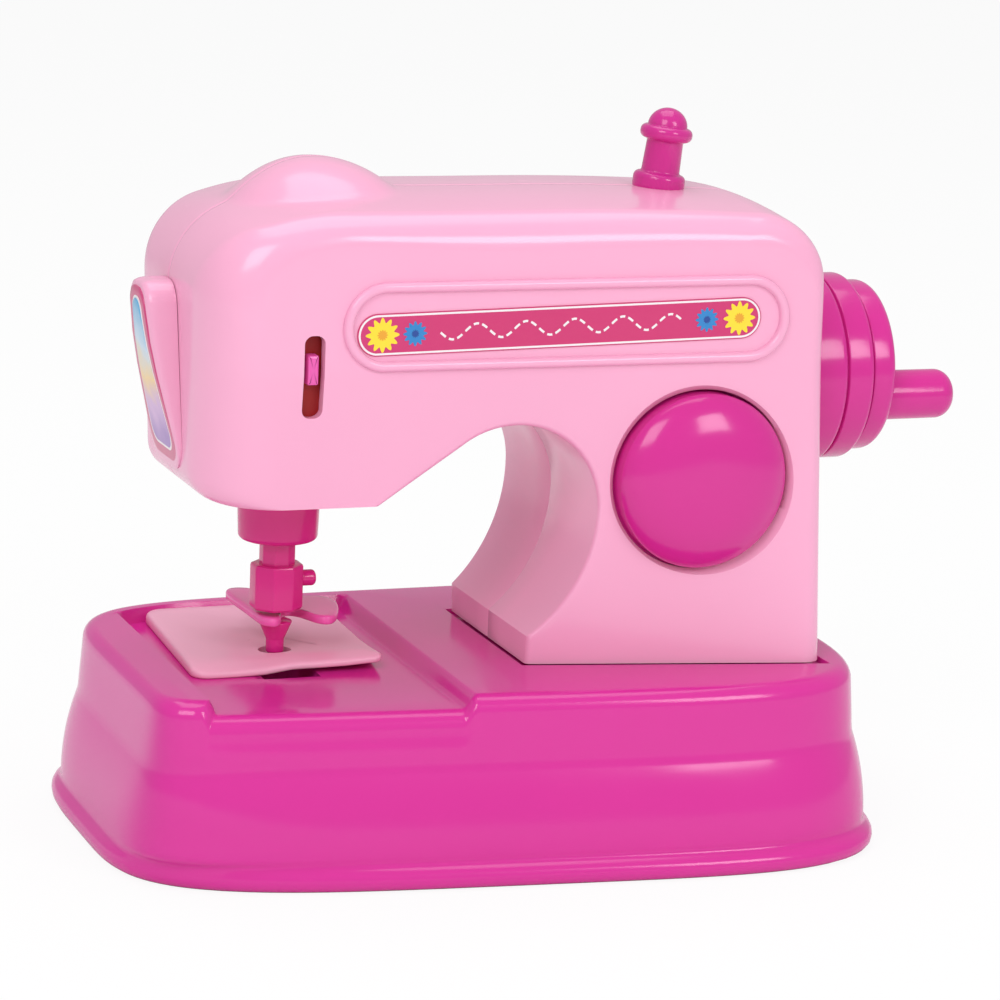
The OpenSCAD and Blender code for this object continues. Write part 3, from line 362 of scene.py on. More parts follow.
def moulded_group():
    """Moulded plastic: broad colour drift, a slow waviness of the gloss, and fine scuffs that dull and lighten it."""
    name = "Moulded plastic"
    if name in bpy.data.node_groups:
        return bpy.data.node_groups[name]
    group, source, sink = node_group(name, [
        ("Color", "NodeSocketColor", (0.8, 0.4, 0.6, 1)), ("Drift", "NodeSocketFloat", 0.05),
        ("Gloss", "NodeSocketFloat", 0.25), ("Scuffs", "NodeSocketFloat", 0.3)],
        [("Color", "NodeSocketColor"), ("Roughness", "NodeSocketFloat"), ("Height", "NodeSocketFloat")])
    nodes, link = group.nodes, group.links.new
    place = nodes.new("ShaderNodeTexCoord").outputs["Object"]

    def noise(scale, detail, vector=place):
        n = nodes.new("ShaderNodeTexNoise")
        set_inputs(n, {"Scale": scale, "Detail": detail})
        link(vector, n.inputs["Vector"])
        return n.outputs["Fac"]

    def maths(operation, a, b):
        m = nodes.new("ShaderNodeMath")
        m.operation = operation
        for socket, value in zip(m.inputs, (a, b)):
            if isinstance(value, (int, float)):
                socket.default_value = value
            else:
                link(value, socket)
        return m.outputs[0]

    broad = noise(28, 2)
    stretch = nodes.new("ShaderNodeMapping")
    set_inputs(stretch, {"Scale": (1, 1, 9), "Rotation": (0.5, 0.3, 0.2)})
    link(place, stretch.inputs["Vector"])
    ramp = nodes.new("ShaderNodeValToRGB")
    ramp.color_ramp.elements[0].position = 0.66
    ramp.color_ramp.elements[1].position = 0.78
    link(noise(170, 3, stretch.outputs["Vector"]), ramp.inputs["Fac"])
    scuffs = maths("MULTIPLY", ramp.outputs["Color"], source.outputs["Scuffs"])

    drift = maths("MULTIPLY", maths("SUBTRACT", broad, 0.5), source.outputs["Drift"])
    value = maths("ADD", maths("ADD", drift, 1.0), maths("MULTIPLY", scuffs, 0.12))
    tone = nodes.new("ShaderNodeHueSaturation")
    link(source.outputs["Color"], tone.inputs["Color"])
    link(value, tone.inputs["Value"])
    link(tone.outputs["Color"], sink.inputs["Color"])
    gloss = maths("ADD", source.outputs["Gloss"], maths("MULTIPLY", maths("SUBTRACT", noise(60, 3), 0.5), 0.10))
    link(maths("ADD", gloss, maths("MULTIPLY", scuffs, 0.25)), sink.inputs["Roughness"])
    height = maths("ADD", maths("MULTIPLY", noise(34, 1), 0.6), maths("MULTIPLY", noise(1500, 2), 0.02))
    link(height, sink.inputs["Height"])
    return group


def plastic(name, colour, gloss=0.2, drift=0.06, scuffs=0.25, bump=0.12, coat=0.2, metallic=0.0):
    """A Principled material fed by the moulded group, with its coat and metal set on the shader's own sockets."""
    if name in bpy.data.materials:
        return bpy.data.materials[name]
    material = bpy.data.materials.new(name)
    material.use_nodes = True
    nodes, link = material.node_tree.nodes, material.node_tree.links.new
    shader = nodes["Principled BSDF"]
    group = nodes.new("ShaderNodeGroup")
    group.node_tree = moulded_group()
    set_inputs(group, {"Color": (*colour, 1), "Drift": drift, "Gloss": gloss, "Scuffs": scuffs})
    lift = nodes.new("ShaderNodeBump")
    set_inputs(lift, {"Strength": bump, "Distance": 0.0006})
    link(group.outputs["Color"], shader.inputs["Base Color"])
    link(group.outputs["Roughness"], shader.inputs["Roughness"])
    link(group.outputs["Height"], lift.inputs["Height"])
    link(lift.outputs["Normal"], shader.inputs["Normal"])
    set_inputs(shader, {"IOR": 1.44, "Coat Weight": coat, "Coat Roughness": 0.08, "Metallic": metallic})
    return material


def printed(name, colour, gloss=0.32, drift=0.1, scuffs=0.2, bump=0.04):
    """Ink on a label."""
    return plastic(name, colour, gloss, drift, scuffs, bump, 0.3)


def colours():
    """The colours that the scene holds."""
    return bpy.context.scene.toy_colours


def white_print():
    """White ink of both labels."""
    return printed("white print", (0.86, 0.80, 0.83), drift=0.04)


def body_pink():
    """Plastic of the two halves of the body."""
    return plastic("pink body plastic", colours().body, gloss=0.2, scuffs=0.12, coat=0.15)


def base_magenta():
    """Plastic of the base and its cover."""
    return plastic("magenta base plastic", colours().base, gloss=0.17, coat=0.12)


def control_magenta():
    """Plastic of the wheel, its handle and the button."""
    return plastic("magenta control plastic", colours().control, gloss=0.17, coat=0.15)


def needle_crimson():
    """Plastic of the needle group."""
    return plastic("crimson needle plastic", colours().needle, gloss=0.2, coat=0.1)


# Base

# Power of the plan's superellipse at the lip, and how much squarer its left corners are at the top
PLAN_POWER, SQUARER_FRONT, SQUARER_REAR = 4.2, 8.5, 0.8
# Share of the profile that counts along the machine, and how far the left end draws in up to the top
END_SHARE, DRAWN_IN = 0.75, 1.2
# Outline of the bottom lip: share of its reach, and height in a lip LIP_DRAWN high
LIP_DRAWN = 4.4
LIP_OUTLINE = ((0.5, 0.0), (0.72, 0.0), (0.88, 0.5), (0.97, 1.2), (1.0, 2.0), (0.98, 2.8), (0.9, 3.5), (0.78, 4.0),
               (0.70, 4.35), (0.66, 4.9))
# The needle slot's left, right, front and back, and its depth
SLOT, SLOT_DEPTH = (-41.0, -32.5, -11.0, 7.0), 7.0
# Width and depth of the groove round the pillar's foot, and width of the rim behind the work area
SEAT_GAP, SEAT_DEPTH, RIM = 0.55, 1.0, 1.8


def base_columns(half_x, centre, power):
    """Angles along half of the plan, from right to left: even steps along both ends, and close columns at the
    edges of the work area, the needle slot and the pillar's foot. cos^p gives x and sin^p gives y."""
    ends = np.arcsin(np.linspace(0, 0.9, 26) ** (1 / power))
    x = np.concatenate((
        np.linspace(-50, 46, 60), np.linspace(-58.9, -56.9, 11), np.linspace(-15.2, -11.6, 19),
        [-41.3, -41.0, -40.7, -32.8, -32.5, -32.2], np.linspace(1.9, 2.8, 6), np.linspace(57.2, 58.1, 6)))
    share = (x - centre) / half_x
    inside = np.arccos(np.sign(share) * np.abs(share) ** (1 / power))
    return np.unique(np.round(np.concatenate((ends, np.pi - ends, inside)), 5))


def bell_profile(s):
    """The wall as (out, height): the rolled lip, a flare of 1 - t^2.1, the upper wall and a quarter circle."""
    lip = np.array(LIP_OUTLINE) * (s.lip_out, s.lip_height / LIP_DRAWN)
    t = np.linspace(0.06, 1, 22)
    flare = np.column_stack((s.draft + (s.lip_out - s.draft) * 0.62 * (1 - t ** 2.1),
                             s.lip_height + (s.crease - s.lip_height) * t))
    u = np.linspace(0, 1, 8)[1:]
    shoulder = s.height - s.edge
    wall = np.column_stack((s.draft * (1 - u) - 0.3 * np.exp(-u * 12), s.crease + (shoulder - s.crease) * u))
    f = np.radians(np.linspace(0, 90, 10))[1:]
    edge = np.column_stack((-s.edge * (1 - np.cos(f)), shoulder + s.edge * np.sin(f)))
    return np.concatenate((lip, flare, wall, edge)).T


def base_points(s, b):
    """The base as two grids. The wall is rings of a superellipse |x/a|^k + |y/b|^k = 1 set out by the bell profile:
    b at the front grows to the right, and k grows with height at the left corners. The top is columns of constant x
    between the front and back of the last ring. Both sink by the work area's depth."""
    power = 2 / PLAN_POWER
    a, d = s.half_length, s.half_depth
    half = base_columns(a - s.edge * END_SHARE, s.centre, power)
    angle = np.concatenate((half, 2 * np.pi - half[-2:0:-1]))
    along = np.sign(np.cos(angle)) * np.abs(np.cos(angle)) ** power
    side = np.where(np.abs(np.sin(angle)) < 1e-6, 0, np.sign(np.sin(angle)))

    out, z = bell_profile(s)
    up = (0.28 * smooth_step(3, 6, z) + 0.72 * smooth_step(8, 30, z))[:, None] * (along < 0)
    square = PLAN_POWER + up * np.where(side < 0, SQUARER_FRONT, SQUARER_REAR)
    x = s.centre + (a - DRAWN_IN * up + END_SHARE * out[:, None]) * along
    n = side * np.maximum(0, 1 - np.abs(along) ** square) ** (1 / square)
    y = (d + np.where(side < 0, s.widen / 100 * x, 0) + out[:, None]) * n
    top_x, top_y = x[-1], y[-1]
    sink = base_sink(s, b, top_x, top_y, np.where(side < 0, 2 * d, top_y))
    reach = smooth_step(s.height - 10, s.height - s.edge, z)[:, None]
    rings = np.stack((x, y, z[:, None] - sink * reach), axis=-1)

    column_x, rear = top_x[:len(half)], top_y[:len(half)]
    front = -np.concatenate((rear[:1], top_y[:len(half) - 1:-1], rear[-1:]))
    y = np.clip(base_rows(b, column_x, rear), -front[:, None], rear[:, None])
    x = np.broadcast_to(column_x[:, None], y.shape)
    top = np.stack((x, y, s.height - base_sink(s, b, x, y, rear[:, None])), axis=-1)
    return rings, top


def base_rows(b, x, rear):
    """Rows across the top: lines of constant y in the work area, lines along the foot's slanting sides under the
    pillar, blended between the two."""
    far, depth = np.full_like(x, 60), foot_depth(b, x)
    work = np.array([-60, -39, -37, -30, -11.3, -11.0, -10.7, -8, -4, 0, 6.7, 7.0, 7.3, 16, 25, 33.6, 34.4, 34.7,
                     35.0, 35.3, 36, 38, 60.0])
    foot = np.stack((-far, *(-depth - v for v in (7, 3, 0.8, 0.6, 0.4, -1, -4)),
                     *(depth * v for v in (-0.6, -0.4, -0.2, 0, 0.2, 0.4, 0.6)),
                     *(depth + v for v in (-4, -1, 0.4, 0.6, 0.8, 3, 7)), far), axis=1)
    rim = np.concatenate((np.linspace(4.2, 3.4, 15), [3.2, 2.4, 2.1, RIM, 1.5, 1.0, 0.5, 0]))
    work = np.minimum(work[None], rear[:, None] - rim)
    w = smooth_step(-11, 1.5, x)[:, None]
    return work * (1 - w) + foot * w


def between(low, high, v, soft=0.3):
    """1 from low to high, with ends that run out smoothly by soft to both sides."""
    return smooth_step(low - soft, low + soft, v) * (1 - smooth_step(high - soft, high + soft, v))


def base_sink(s, b, x, y, rear):
    """How far the top lies below its full height: the work area with a sloping right side, the needle slot, and a
    shallow seat just outside the pillar's foot."""
    across = (smooth_step(s.recess_left - 0.5, s.recess_left + 0.7, x)
              * (1 - smooth_step(s.recess_right - 0.3, s.recess_right + 2.3, x)))
    back = np.minimum(s.recess_back, rear - RIM)
    area = across * (1 - smooth_step(back - 0.6, back + 0.3, y))
    slot = between(SLOT[0], SLOT[1], x) * between(SLOT[2], SLOT[3], y)
    seat = ((1 - smooth_step(SEAT_GAP - 0.15, SEAT_GAP + 0.25, np.abs(y) - foot_depth(b, x)))
            * between(b.foot_left - 0.6, b.right + 0.6, x, 0.2))
    return s.recess_depth * area + SLOT_DEPTH * slot + SEAT_DEPTH * seat


# Body

# Height of the base's top, on which the pillar stands
BASE_TOP = 33.0
# Radii of the head's lower and upper left corners, and of the pillar's top corner with the angle where it starts
HEAD_CORNER, HEAD_TOP, PILLAR_CORNER, PILLAR_TURN = 5.5, 14.5, 12.5, 85
# Fall of the head's top to the left and of the arm's to the right, and lean of the right side
HEAD_FALL, ARM_FALL, LEAN_IN = 7.0, 1.4, 1.2
# Rounding of the left end, of the arm's and pillar's outer edges, and of the inner edge
END_ROUND, ARM_ROUND, PILLAR_ROUND, INNER_ROUND = 12.5, 5.5, 4.0, 0.9
# How far the arch's middle lies left of the foot and above the base, and the angle where the arch starts
ARCH_LEFT, ARCH_UP, ARCH_START = 5, 28.3, 128
# Crown of the arm's top, depth of the fine groove where the two halves meet, and half its width
CROWN, SEAM, SEAM_HALF = 2.2, 0.15, 0.35


def depth_at(b, x, z):
    """Half depth of the body: flat above the lean, and below it leaning in at the toe and out at the heel."""
    low = b.lean_top - BASE_TOP
    share = np.clip((x - b.foot_left) / (b.right - b.foot_left), 0, 1)
    lean = ((b.half_depth - b.toe_half) * (1 - share) + (b.half_depth - b.heel_half) * share) / low
    return b.half_depth - np.maximum(0, b.lean_top - z) * lean


def foot_depth(b, x):
    """Half depth of the pillar where it meets the base."""
    return depth_at(b, x, np.full_like(x, BASE_TOP))


def face_at(b, x, z):
    """Half depth at one place, as a plain number."""
    return float(depth_at(b, np.array(x), np.array(z)))


def fall_at(b, x):
    """How far the head's top lies below the arm's: it grows with the square of the way left of the dome."""
    return HEAD_FALL * np.maximum(0, (b.dome_x - x) / (b.dome_x - b.left_high)) ** 2


def toward(degrees):
    """Unit vector of an angle."""
    return np.array((math.cos(math.radians(degrees)), math.sin(math.radians(degrees))))


def head_end(b):
    """Foot and head of the sloping left end, then the centre of the top corner's circle and its two end angles."""
    low = np.array((b.left_low, b.head_bottom + HEAD_CORNER))
    start = b.left_high + HEAD_TOP * 0.88
    fall = math.atan(2 * HEAD_FALL * (b.dome_x - start) / (b.dome_x - b.left_high) ** 2)
    start = b.left_high + HEAD_TOP * (1 - math.sin(fall))
    centre = np.array((b.left_high + HEAD_TOP, b.top - float(fall_at(b, start)) - HEAD_TOP * math.cos(fall)))
    slope = math.degrees(math.atan2(b.left_low - b.left_high, centre[1] - low[1]))
    return low, centre - HEAD_TOP * toward(slope), centre, 180 + slope, 90 + math.degrees(fall)


def body_rails(b, fine=1.0):
    """Outer and inner rail of the C in the middle plane, with the edge radius and the crown at each station.
    The outer one goes up the left end, over the top and down the right. The inner one goes along the arch, a circle
    that runs on as a flatter one, to the toe."""
    n = [max(2, round(k * fine)) for k in (14, 20, 36, 150, 18, 12, 20, 12, 8)]
    low_left, high_left, round_top, steep, flat = head_end(b)
    top_left = round_top[0] + HEAD_TOP * toward(flat)[0]
    corner_x = b.right - LEAN_IN - PILLAR_CORNER
    turn = PILLAR_CORNER * toward(PILLAR_TURN)
    top_right = np.array((corner_x + turn[0], b.top - ARM_FALL))
    corner = np.array((corner_x, top_right[1] - turn[1]))
    x = np.linspace(top_left, top_right[0], n[3], endpoint=False)
    crest = b.top - ARM_FALL * np.maximum(0, (x - 5) / (top_right[0] - 5)) ** 2 - fall_at(b, x)
    side = np.linspace((b.right - LEAN_IN, corner[1]), (b.right, BASE_TOP), 11)
    outer = np.concatenate((
        arc(low_left + (HEAD_CORNER, 0), HEAD_CORNER, 270, 184, n[0]), line(low_left, high_left, n[1]),
        arc(round_top, HEAD_TOP, steep, flat, n[2]), np.column_stack((x, crest)),
        arc(corner, PILLAR_CORNER, PILLAR_TURN, 0, n[4]),
        *(line(side[i], side[j], n[k]) for k, i, j in ((5, 0, 2), (6, 2, 6), (7, 6, 8), (8, 8, 10))), side[10:]))

    arch = np.array((b.foot_left - ARCH_LEFT, BASE_TOP + ARCH_UP))
    arch_in = arch + b.arch_radius * toward(ARCH_START)
    arch_right = arch[0] + b.arch_radius
    head_in = np.array((b.head_right, b.head_bottom))
    mids = [head_in + (arch_in - head_in) * share for share in (0.2, 0.55)]
    toe, foot = np.array((b.foot_left, BASE_TOP + b.toe_height)), np.array((b.foot_left, BASE_TOP))
    across, down = arch_right - toe[0], arch[1] - toe[1]
    bow = (across ** 2 + down ** 2) / (2 * across)
    turns = [-share * math.degrees(math.asin(down / bow)) for share in (0, 0.3, 0.75, 1)]
    inner = np.concatenate((
        line(head_in, mids[0], n[0]), line(mids[0], mids[1], n[1]), line(mids[1], arch_in, n[2]),
        arc(arch, b.arch_radius, ARCH_START, 40, n[3]), arc(arch, b.arch_radius, 40, 0, n[4]),
        *(arc((arch_right - bow, arch[1]), bow, turns[k], turns[k + 1], n[5 + k]) for k in range(3)),
        line(toe, foot, n[8]), foot[None]))

    tail = sum(n[5:]) + 1
    radius = np.concatenate((
        line(9, END_ROUND, n[0]), np.full(n[1], END_ROUND), line(END_ROUND, ARM_ROUND, n[2]),
        np.full(n[3], ARM_ROUND), line(ARM_ROUND, PILLAR_ROUND, n[4]), np.full(tail, PILLAR_ROUND)))
    crown = np.concatenate((
        np.zeros(n[0] + n[1]), line(0, CROWN, n[2]), np.full(n[3], CROWN), line(CROWN, 0, n[4]), np.zeros(tail)))
    return outer, inner, ease(radius), ease(crown)


def ease(values, width=9):
    """A running mean with its ends held."""
    pad = np.pad(values, width // 2, mode="edge")
    return np.convolve(pad, np.ones(width) / width, mode="valid")


def body_grid(b, outer, inner, radius, crown, thin, start):
    """Sections across the C as rows of a grid, from the outer rail round the front edge and along the face to the
    inner rail. The edge is a quarter circle, the crown an inset that grows with the square of y."""
    d = inner - outer
    d /= np.linalg.norm(d, axis=1, keepdims=True)
    rows = []

    def add(q, y, bend=0.0):
        p = q + d * (crown * bend * (y / b.half_depth) ** 2)[:, None]
        rows.append(np.column_stack((p[:, 0], -y, p[:, 1])))

    rows.append(np.column_stack((outer[:, 0], np.full(len(outer), start), outer[:, 1])))
    flat = depth_at(b, *outer.T) - thin - radius
    if start == 0:
        add(outer, np.full(len(outer), SEAM_HALF))
        rows[0][:, 0::2] += d * SEAM
    for share in np.linspace(0, 1, 20)[1:-1]:
        add(outer, flat * share, 1.0)
    for a in np.radians(np.linspace(0, 90, 17)):
        q = outer + d * (radius * (1 - math.cos(a)))[:, None]
        add(q, depth_at(b, *q.T) - thin - radius + radius * math.sin(a), 1.0)
    near, far = outer + d * (radius + crown)[:, None], inner - d * INNER_ROUND
    for share in np.linspace(0, 1, 26)[1:-1]:
        q = near + (far - near) * share
        add(q, depth_at(b, *q.T) - thin)
    for a in np.radians(np.linspace(90, 0, 7)):
        q = inner - d * INNER_ROUND * (1 - math.cos(a))
        add(q, depth_at(b, *q.T) - thin - INNER_ROUND * (1 - math.sin(a)))
    last = -rows[-1][:, 1]
    for share in (0.66, 0.33):
        add(inner, last * share)
    rows.append(np.column_stack((inner[:, 0], np.full(len(inner), start), inner[:, 1])))
    if start == 0:
        rows[-1][:, 0::2] -= d * SEAM
        add(inner, np.full(len(inner), SEAM_HALF))
        rows[-1], rows[-2] = rows[-2], rows[-1]
    return np.stack(rows, axis=1)


def raise_dome(b, grid):
    """Lifts the top of the head by a ball's cap that runs out smoothly: h = (s + sqrt(s^2 + k^2)) / 2, where s is the
    ball's height over the top."""
    sunk, blend, below = 0.25, 0.7, 14
    x, y, z = np.moveaxis(grid, -1, 0)
    away = np.minimum(np.hypot(x - b.dome_x, y), b.dome_ball)
    ball = b.dome_rise - sunk - b.dome_ball + np.sqrt(b.dome_ball ** 2 - away ** 2)
    lift = (ball + np.sqrt(ball ** 2 + blend ** 2)) / 2 * (1 - smooth_step(19, 24, away))
    z += np.where(z > b.top - below, lift, 0)


def close_ends(grid):
    """Closes the flat first and last section with rings that draw in to their middles."""
    def drawn(section, share):
        middle = (section.min(axis=0) + section.max(axis=0)) / 2
        return middle + (section - middle) * share

    head = [drawn(grid[0], share) for share in (0.0, 0.35, 0.7)]
    foot = [drawn(grid[-1], share) for share in (0.5, 0.0)]
    return np.concatenate((np.stack(head), grid, np.stack(foot)))


def half_body(b, name):
    """Front half of the body as a closed shell, and the loft set in by the wall that hollows it."""
    grid = body_grid(b, *body_rails(b), 0.0, 0.0)
    raise_dome(b, grid)
    shell = mesh_object(name, *join_grids((close_ends(grid), False, True)))
    outer, inner, radius, crown = body_rails(b, 0.4)
    d = inner - outer
    d *= b.wall * 1.2 / np.linalg.norm(d, axis=1, keepdims=True)
    above_corner, above_toe = b.head_bottom + 7.5, 44
    keep = (outer[:, 1] > above_corner) & (inner[:, 1] > above_toe)
    ceiling, floor, right, left = b.head_bottom + b.wall, BASE_TOP + b.wall, b.right - b.wall, b.foot_left + 10
    o = np.concatenate(([(b.left_low + 5.3, ceiling)], (outer + d)[keep], [(right, 48.3), (right, floor)]))
    i = np.concatenate(([(b.head_right - 2.6, ceiling)], (inner - d)[keep], [(left, 40.6), (left, floor)]))
    r = np.concatenate(([8], radius[keep] - 1.1, [3, 3]))
    c = np.concatenate(([0], crown[keep], [0, 0]))
    hollow = mesh_object("hollow", *join_grids((close_ends(body_grid(b, o, i, r, c, b.wall, 0.5)), False, True)))
    return shell, hollow


def mirrored(obj, name):
    """The same mesh with y turned round, and its faces turned back outwards."""
    mesh = obj.data.copy()
    mesh.name = name
    co = np.empty(len(mesh.vertices) * 3, np.float32)
    mesh.vertices.foreach_get("co", co)
    co[1::3] *= -1
    mesh.vertices.foreach_set("co", co)
    mesh.flip_normals()
    copy = bpy.data.objects.new(name, mesh)
    bpy.context.scene.collection.objects.link(copy)
    return copy


def rod(name, radius, origin, axis, long, segments=48):
    """A closed round bar, for cutting holes."""
    return lathe_object(name, [(0, 0), (radius, 0), (radius, long), (0, long)], origin, axis, segments)


class TOY_OT_base(bpy.types.Operator):
    """Builds the flared base with its lowered work area"""
    bl_idname = "toy.base"
    bl_label = "Base"

    def execute(self, context):
        s, b = in_mm(context.scene.toy_base), in_mm(context.scene.toy_body)
        rings, top = base_points(s, b)
        obj = mesh_object("base_skin", *join_grids((rings, False, True), (top, False, False)), 50)
        piece(obj, "frame", "magenta_base", base_magenta(), "base_shell")
        return {"FINISHED"}


# Way from the left of the button's CAD box to its middle, then the radii of its cap, its flange and its hole
BUTTON_REACH, BUTTON_CAP, BUTTON_FLANGE, BUTTON_HOLE = 15.9, 15.8, 18.2, 16.3
# Half width, foot, head and corner radius of the take-up tab's slot, and of the red apron behind it, darkened as
# painted shade
TAB_SLOT, APRON = (1.85, 80.0, 94.5, 1.5), (3.6, 75.5, 99.0, 1.0)
# Places of the rear half's screws, as (x, z)
POSTS = ((-24.5, 98.3), (14, 100.3), (44, 100.3), (24, 39.5))


def button_middle():
    """Place of the button's middle along the machine, and its height."""
    return node_box("push_button")[0][0] + BUTTON_REACH, node_middle("push_button")[2]


class TOY_OT_body(bpy.types.Operator):
    """Builds the two halves of the body with their openings, and the raised frame round the label"""
    bl_idname = "toy.body"
    bl_label = "Body"

    def execute(self, context):
        b = in_mm(context.scene.toy_body)
        front, hollow = half_body(b, "body_front")
        rear, rear_hollow = mirrored(front, "body_rear"), mirrored(hollow, "rear_hollow")
        self.cut_front(b, front, hollow)
        self.cut_rear(b, rear, rear_hollow)
        piece(front, "frame", "pink_body", body_pink(), "front_shell")
        piece(rear, "frame", "pink_body", body_pink(), "rear_shell")
        self.label_frame(b)
        return {"FINISHED"}

    def shared(self, b):
        """Cutters of both halves: the holes of the shaft and the collar, and the crank's room."""
        spare = 0.7
        z, x = node_middle("main_shaft")[2], node_middle("needle_bar_collar")[0]
        low, high = node_box("crank_disc")
        room, left = (high[1] - low[1]) / 2 + spare, node_box("crank_pin")[0][0] - spare
        return [rod("shaft_hole", 3.55, (b.right - 5, 0, z), (1, 0, 0), 10),
                rod("collar_hole", 6.6, (x, 0, b.head_bottom - 1), (0, 0, 1), 4),
                rod("crank_room", room, (left, 0, z), (1, 0, 0), high[0] + spare - left)]

    def cut_front(self, b, front, hollow):
        """Hollows the front half, and cuts the button's hole with its sloping rim and the take-up tab's slot."""
        x, z = button_middle()
        hole = rod("button_hole", BUTTON_HOLE, (x, -10, z), (0, -1, 0), 30, 128)
        tilt, sunk = (-0.071, -1, -0.008), 0.55
        rim = lathe_object("button_rim", [(0, -1.5), (15.6, -1.5), (18.0, 1.5), (0, 1.5)],
                           (x, sunk - face_at(b, x, z), z), tilt, 128)
        loop = box_loop(node_middle("take_up_lever")[0], *TAB_SLOT, 8)
        slot = plate_object("slot", loop, [(0, 0), (0, 20)], on_front(12))
        carve(front, hollow, hole, rim, slot, *self.shared(b))

    def cut_rear(self, b, rear, hollow):
        """Hollows the rear half, cuts the screws' holes and lines each with a tube."""
        places = [(x, face_at(b, x, z), z) for x, z in POSTS]
        holes = [rod("screw_hole", 2.9, (x, y - 6.0, z), (0, 1, 0), 12) for x, y, z in places]
        carve(rear, hollow, *holes, *self.shared(b))
        tube = [(2.92, -7.0), (4.2, -7.0), (4.2, -1.0), (2.92, -1.0), (2.92, -7.0)]
        for place, k in zip(places, "abcd"):
            obj = lathe_object("screw_well_" + k, tube, place, (0, 1, 0), 48)
            piece(obj, "frame", "pink_body", body_pink())

    def label_frame(self, b):
        """A half-round rim carried along a stadium."""
        half, rise, sunk = 0.9, 1.05, 0.4
        path = stadium_loop(81.15, 13.75, 32)
        normal = outward(path)
        a = np.radians(np.linspace(0, 180, 13))
        across = np.append(np.cos(a) * half, (-half, half))
        up = np.append(np.sin(a) ** 0.8 * rise, (-sunk, -sunk))
        p = path[:, None] + normal[:, None] * across[None, :, None] + (6.5, 95.7)
        grid = np.stack((p[..., 0], np.broadcast_to(-b.half_depth - up, p.shape[:2]), p[..., 1]), axis=-1)
        obj = mesh_object("label_frame", *join_grids((grid, True, True)), 60)
        piece(obj, "frame", "pink_body", body_pink())


class TOY_OT_front_label(bpy.types.Operator):
    """Builds the printed strip with a border, a stitched wave and flowers at its ends"""
    bl_idname = "toy.front_label"
    bl_label = "Front label"

    def execute(self, context):
        turn = math.radians(1.24)
        spin = np.array(((math.cos(turn), math.sin(turn)), (-math.sin(turn), math.cos(turn))))
        lift = on_front(in_mm(context.scene.toy_body).half_depth)

        def placed(loop):
            """Turns a flat outline a little and sets it on the arm."""
            return loop @ spin + (5.0, 95.1)

        def add(obj, ink, *nodes):
            piece(obj, "frame", "crimson_label", ink, *nodes)

        strip = plate_object("label_strip", placed(stadium_loop(75, 7.4)), [(0, 0.0), (0, 0.2), (0.05, 0.25)], lift)
        add(strip, printed("crimson print", colours().label, 0.3, 0.08, 0.3, 0.05), "front_label")
        border = self.ridge(lift, placed(stadium_loop(74.6, 7.0)), placed(stadium_loop(73.9, 6.3)))
        add(mesh_object("label_border", *join_grids((border, True, True))), white_print())
        grids = [(self.ridge(lift, *sides), False, True) for sides in zip(*map(placed, self.stitches()))]
        add(mesh_object("label_stitches", *join_grids(*grids)), white_print())
        big = printed("yellow print", (0.92, 0.70, 0.03)), printed("orange print", (0.80, 0.36, 0.02))
        small = printed("blue print", (0.02, 0.22, 0.56)), printed("navy print", (0.01, 0.06, 0.30))
        for name, inks, x, size in (
                ("flower_left", big, -33.0, 3.05), ("small_flower_left", small, -27.1, 2.2),
                ("small_flower_right", small, 27.1, 2.2), ("flower_right", big, 33.3, 3.05)):
            add(plate_object(name, placed(self.petals(x, size)), [(0, 0.2), (0, 0.29)], lift), inks[0])
            eye = placed(self.petals(x, size * 0.32))
            add(plate_object(name + "_eye", eye, [(0, 0.25), (0, 0.33)], lift), inks[1])
        return {"FINISHED"}

    def ridge(self, lift, one, other):
        """Sections of a flat printed line between two curves: up at one, across, and down at the other."""
        foot, crest = 0.2, 0.28
        corners = (one, foot), (one, crest), (other, crest), (other, foot)
        return np.stack([lift(p, np.full(len(p), h)) for p, h in corners], axis=1)

    def stitches(self):
        """Both sides of a wave y = 1.3 sin(2 pi x / 9), each cut into 30 dashes with a gap after every one."""
        x = np.linspace(-22.5, 22.5, 240)
        y = 1.3 * np.sin(x * 2 * np.pi / 9)
        slope = np.gradient(y, x)
        normal = np.column_stack((-slope, np.ones_like(x))) / np.hypot(slope, 1)[:, None]
        middle = np.column_stack((x, y))
        return [(middle + normal * w).reshape(30, 8, 2)[:, :6] for w in (-0.2, 0.2)]

    def petals(self, x, size):
        """A flower's outline with twelve petals: r = size * (0.85 + 0.15 cos 12a)."""
        a = np.linspace(0, 2 * np.pi, 144, endpoint=False)
        return (size * (0.85 + 0.15 * np.cos(12 * a)))[:, None] * np.column_stack((np.cos(a), np.sin(a))) + (x, 0)


def end_x(b, y, z):
    """The rounded left end: a sloping line in the middle, bending away as a circle towards the top and the sides."""
    low, high, centre = head_end(b)[:3]
    line_x = low[0] + (high[0] - low[0]) * (z - low[1]) / (high[1] - low[1])
    bend = centre[0] - np.sqrt(HEAD_TOP ** 2 - (np.maximum(z, high[1]) - centre[1]) ** 2)
    line_x = np.where(z > high[1], bend, line_x)
    side = np.maximum(0, np.abs(y) - (depth_at(b, np.full_like(z, b.left_low), z) - END_ROUND))
    return line_x + END_ROUND - np.sqrt(np.maximum(0, END_ROUND ** 2 - side ** 2))


